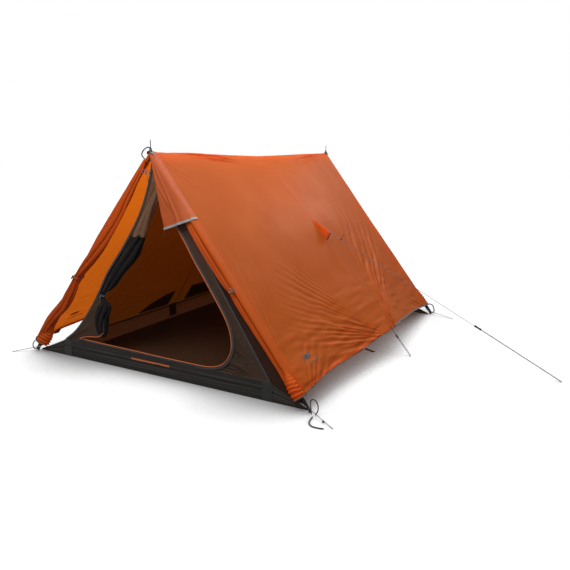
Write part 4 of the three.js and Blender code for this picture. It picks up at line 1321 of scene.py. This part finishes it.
def make_rear_zip():
    line = places(0, DOOR_PLANE + 0.0012, np.linspace(REAR_HEM + 0.002, 1.125, 120))
    dress(ribbon("rear_zip_tape", line, Y, 0.022, 0.0008), BLACK_TAPE)
    dress(tube("rear_zip_coil", line + Y * 0.0007, 0.0013), ZIP_TAPE)


for side_name, side in SIDES.items():
    make_rear_door(side_name, side)
make_rear_zip()


# ---- Guy tabs, webbing and small loops ----
def make_guy_tab(side_name, side):
    """A triangle of doubled fly cloth on the middle seam, bound below, with a ring at its tip."""
    a, b, c = np.array([0.4045, 0.794]), np.array([0.530, 0.714]), np.array([0.5075, 0.667])  # x and z
    share, across = np.meshgrid(np.linspace(0, 1, 24), np.linspace(0, 1, 16))
    flat = mix(mix(a, b, share[..., None]), mix(a, c, share[..., None]), across[..., None])
    for layer, sign in (("a", -1), ("b", 1)):
        y = sign * (0.0006 + 0.0025 * np.sin(math.pi * across) * share)
        y = y + 0.002 * noise(share * 4, across * 3, 7)
        piece = grid(f"guy_tab_{side_name}_{layer}", places(side * flat[..., 0], y, flat[..., 1]))
        dress(piece, FLY, "tent", [f"guy_tab_{side_name}"] if layer == "a" else [])
    lower = in_plane(between(c, b, 12) * [side, 1], 0)
    dress(ribbon(f"guy_tab_binding_{side_name}", lower, Y, 0.008, 0.004), HEM_TAPE)
    start = GUY_START * [side, 1, 1]
    run = unit(np.array([side * GUY_PEG[side_name], 0, 0]) - start)
    ring = [start - run * 0.010 + run * 0.012 * (1 - math.cos(t)) * 0.5 + Y * 0.008 * math.sin(t)
            for t in np.linspace(0, 2 * math.pi, 25)]
    dress(tube(f"guy_ring_{side_name}", ring, 0.0016), GREY_PLASTIC)


def make_seam_straps(side_name, side):
    """The webbing that holds the hem line, and the strap on the ground inside the seam."""
    flip = np.array([side, 1, 1])
    run = unit(np.array([HEM_PEG, 0, 0]) - HEM_START) * flip
    path = on_roof(side * np.linspace(0.984, 1.0, 8), 0, 0.0022)[0]
    path = spaced(np.vstack([path, HEM_START * flip + run * np.linspace(0.004, 0.040, 8)[:, None]]), 24)
    strap = ribbon(f"hem_strap_{side_name}", path, unit([side * 0.7, 0, 0.7]), 0.011, 0.0022)
    dress(strap, BLACK_TAPE)
    path = between([0.700, 0.040, 0.0014], [0.867, -0.038, 0.0014], 14) * flip
    dress(ribbon(f"floor_strap_{side_name}", path, Z, 0.020, 0.0016), BLACK_TAPE)


for side_name, side in SIDES.items():
    make_guy_tab(side_name, side)
    make_seam_straps(side_name, side)


# ---- Small cords at the feet and the apex ----
SMALL_CORD = 0.006
FRONT_PLANE = -HALF_LENGTH - 0.019
FOOT_CORDS = {
    "foot_loop_right": [(0.938, 0.004), (0.934, 0.033), (0.931, 0.063), (0.943, 0.078), (0.960, 0.073),
                        (0.971, 0.050), (0.970, 0.024), (0.958, 0.004)],
    "foot_elastic_right": [(0.846, 0.070), (0.834, 0.054), (0.838, 0.036), (0.846, 0.024)],
    "foot_loop_left": [(-0.878, 0.078), (-0.905, 0.073), (-0.932, 0.058), (-0.947, 0.033), (-0.938, 0.014),
                       (-0.918, 0.012), (-0.897, 0.032), (-0.883, 0.056), (-0.868, 0.060), (-0.845, 0.050),
                       (-0.820, 0.042)],
    "apex_loop": [(0.002, 1.216), (-0.022, 1.218), (-0.046, 1.204), (-0.058, 1.183), (-0.050, 1.169),
                  (-0.032, 1.156)],
}  # x and z
FOOT_PLANES = {"apex_loop": -HALF_LENGTH, "foot_elastic_right": -HALF_LENGTH - 0.004}
FOOT_TAIL = [(0.955, -1.100), (0.963, -1.145), (0.974, -1.172), (0.996, -1.192), (1.022, -1.195),
             (1.054, -1.190)]  # x and y, along the ground
REAR_LOOP = [(0.892, 1.066, 0.070), (0.908, 1.071, 0.076), (0.929, 1.072, 0.068), (0.942, 1.071, 0.044),
             (0.944, 1.069, 0.022), (0.936, 1.066, 0.008)]
GUY_TAIL = [(0.606, 0, 0.681), (0.609, 0.001, 0.690), (0.616, 0.002, 0.702), (0.627, 0.003, 0.715)]


def small_cord(name, path, diameter=SMALL_CORD, material=SHOCK_CORD):
    cord(name, path, diameter=diameter, material=material)


def make_foot_details():
    """Webbing bars, loops and a loose tail at the feet, the front cap's loop and a tab on the left hem."""
    for name, flat in FOOT_CORDS.items():
        small_cord(name, in_plane(spline(flat, 40), FOOT_PLANES.get(name, FRONT_PLANE)))
    tail = np.insert(spline(FOOT_TAIL, 40), 2, SMALL_CORD / 2 + 0.0002, axis=1)
    small_cord("foot_tail_right", tail)
    for side_name, side in SIDES.items():
        small_cord(f"rear_foot_loop_{side_name}", spline(REAR_LOOP, 36) * [side, 1, 1], 0.0085)
        for end_name, end in ENDS.items():
            y = end * (HALF_LENGTH + 0.006)
            path = between((side * 0.884, y, 0.068), (side * 0.929, y, 0.0064), 12)
            bar = ribbon(f"foot_bar_{end_name}_{side_name}", path, end * Y, 0.013, 0.003)
            dress(bar, BLACK_TAPE)
    top = on_roof(-0.99, -0.932)[0] - [0, 0, 0.003]
    path = top + np.linspace(0, 0.034, 10)[:, None] * leg_down(-1)
    dress(ribbon("hem_tab_left", path, unit([-COS, 0, SIN]), 0.044, 0.002), BLACK_TAPE)


def knot(name, place, along, shoulder, belly, material):
    """A small round knot on a line."""
    profile = [(0, -0.006), (0.004, -shoulder), (belly, 0), (0.004, shoulder), (0, 0.006)]
    dress(lathe(name, profile, place, unit(along), 16), material)


def make_knots():
    """Knots on the guylines with their tails, and the one by the front right peg."""
    for side_name, side in SIDES.items():
        knot(f"guy_knot_{side_name}", [side * 0.606, 0, 0.679], [side * 0.89, 0, -0.45], 0.004, 0.005,
             SHOCK_CORD)
        small_cord(f"guy_tail_{side_name}", spline(GUY_TAIL, 16) * [side, 1, 1], 0.0025)
    knot("peg_line_knot", [1.023, -1.126, 0.0062], [0.83, -0.55, 0], 0.005, 0.0055, BLACK_TAPE)


make_foot_details()
make_knots()

# ---- Bow at the left roll's top ----
BOW_MIDDLE = np.array([0.002, FRONT_PLANE - 0.022, 1.098])
BOW = {"bow_left": [(0, 0), (-0.012, 0.012), (-0.024, 0.006), (-0.018, -0.008), (-0.002, -0.003)],
       "bow_right": [(0, 0), (0.012, 0.013), (0.024, 0.006), (0.017, -0.008), (0.002, -0.003)],
       "bow_tail": [(0, 0), (0.004, -0.018), (0.010, -0.034), (0.008, -0.050)]}  # x and z from its middle

for name, flat in BOW.items():
    small_cord(name, BOW_MIDDLE + in_plane(spline(flat, 28), 0), 0.0036,
               CORD)

# ---- Floor and light ----
def make_stage():
    """A pale floor that glows white to the camera, with a painted contact shadow: its glow is darker where
    the tent stands close.
    """
    bpy.ops.mesh.primitive_plane_add(size=60, location=(0, 0, -0.0004))
    floor = bpy.context.object
    floor.name = "studio_floor"
    material, tree, output = new_material("studio floor")
    # Painted shadow: ambient occlusion near the tent dims the floor's glow into a contact shadow.
    painted_shadow_occlusion = node(tree, "AmbientOcclusion", {"Distance": 0.5})
    painted_shadow_occlusion.samples = 8
    fall = maths(tree, "POWER", painted_shadow_occlusion.outputs["AO"], 2.2)
    seen = node(tree, "LightPath").outputs["Is Camera Ray"]
    glow = maths(tree, "MULTIPLY", fall, maths(tree, "MULTIPLY_ADD", seen, 0.90, 0.10))
    shader = node(tree, "BsdfPrincipled", {
        "Base Color": (0.15, 0.15, 0.15, 1), "Roughness": 0.9, "Specular IOR Level": 0.0,
        "Emission Color": (1, 1, 1, 1), "Emission Strength": glow})
    tree.links.new(shader.outputs[0], output.inputs[0])
    floor.data.materials.append(material)


def make_light(name, place, target, size, power):
    """A square lamp of that size that looks at its target."""
    data = bpy.data.lights.new(name, "AREA")
    data.shape, data.size, data.energy = "SQUARE", size, power
    lamp = link(name, data)
    lamp.location = place
    lamp.rotation_euler = (Vector(target) - Vector(place)).to_track_quat("-Z", "Y").to_euler()


def make_world():
    """White to the camera and a little weaker to the tent."""
    world = bpy.data.worlds.new("studio")
    world.use_nodes = True
    tree = world.node_tree
    background = tree.nodes["Background"].inputs
    seen = node(tree, "LightPath").outputs["Is Camera Ray"]
    background["Color"].default_value = (1, 1, 1, 1)
    tree.links.new(maths(tree, "MULTIPLY_ADD", seen, 0.38, 0.62), background["Strength"])
    bpy.context.scene.world = world
    bpy.context.scene.view_settings.view_transform = "Standard"


make_stage()
make_light("overhead", (0.15, 0.0, 2.55), (0.15, 0, 0), 1.5, 40)
make_light("rear_key", (0.9, 2.4, 2.2), (0.5, 0, 0.5), 0.6, 25)
make_light("front_fill", (0.4, -2.6, 2.8), (0.2, -0.6, 0.6), 1.2, 66)
make_world()
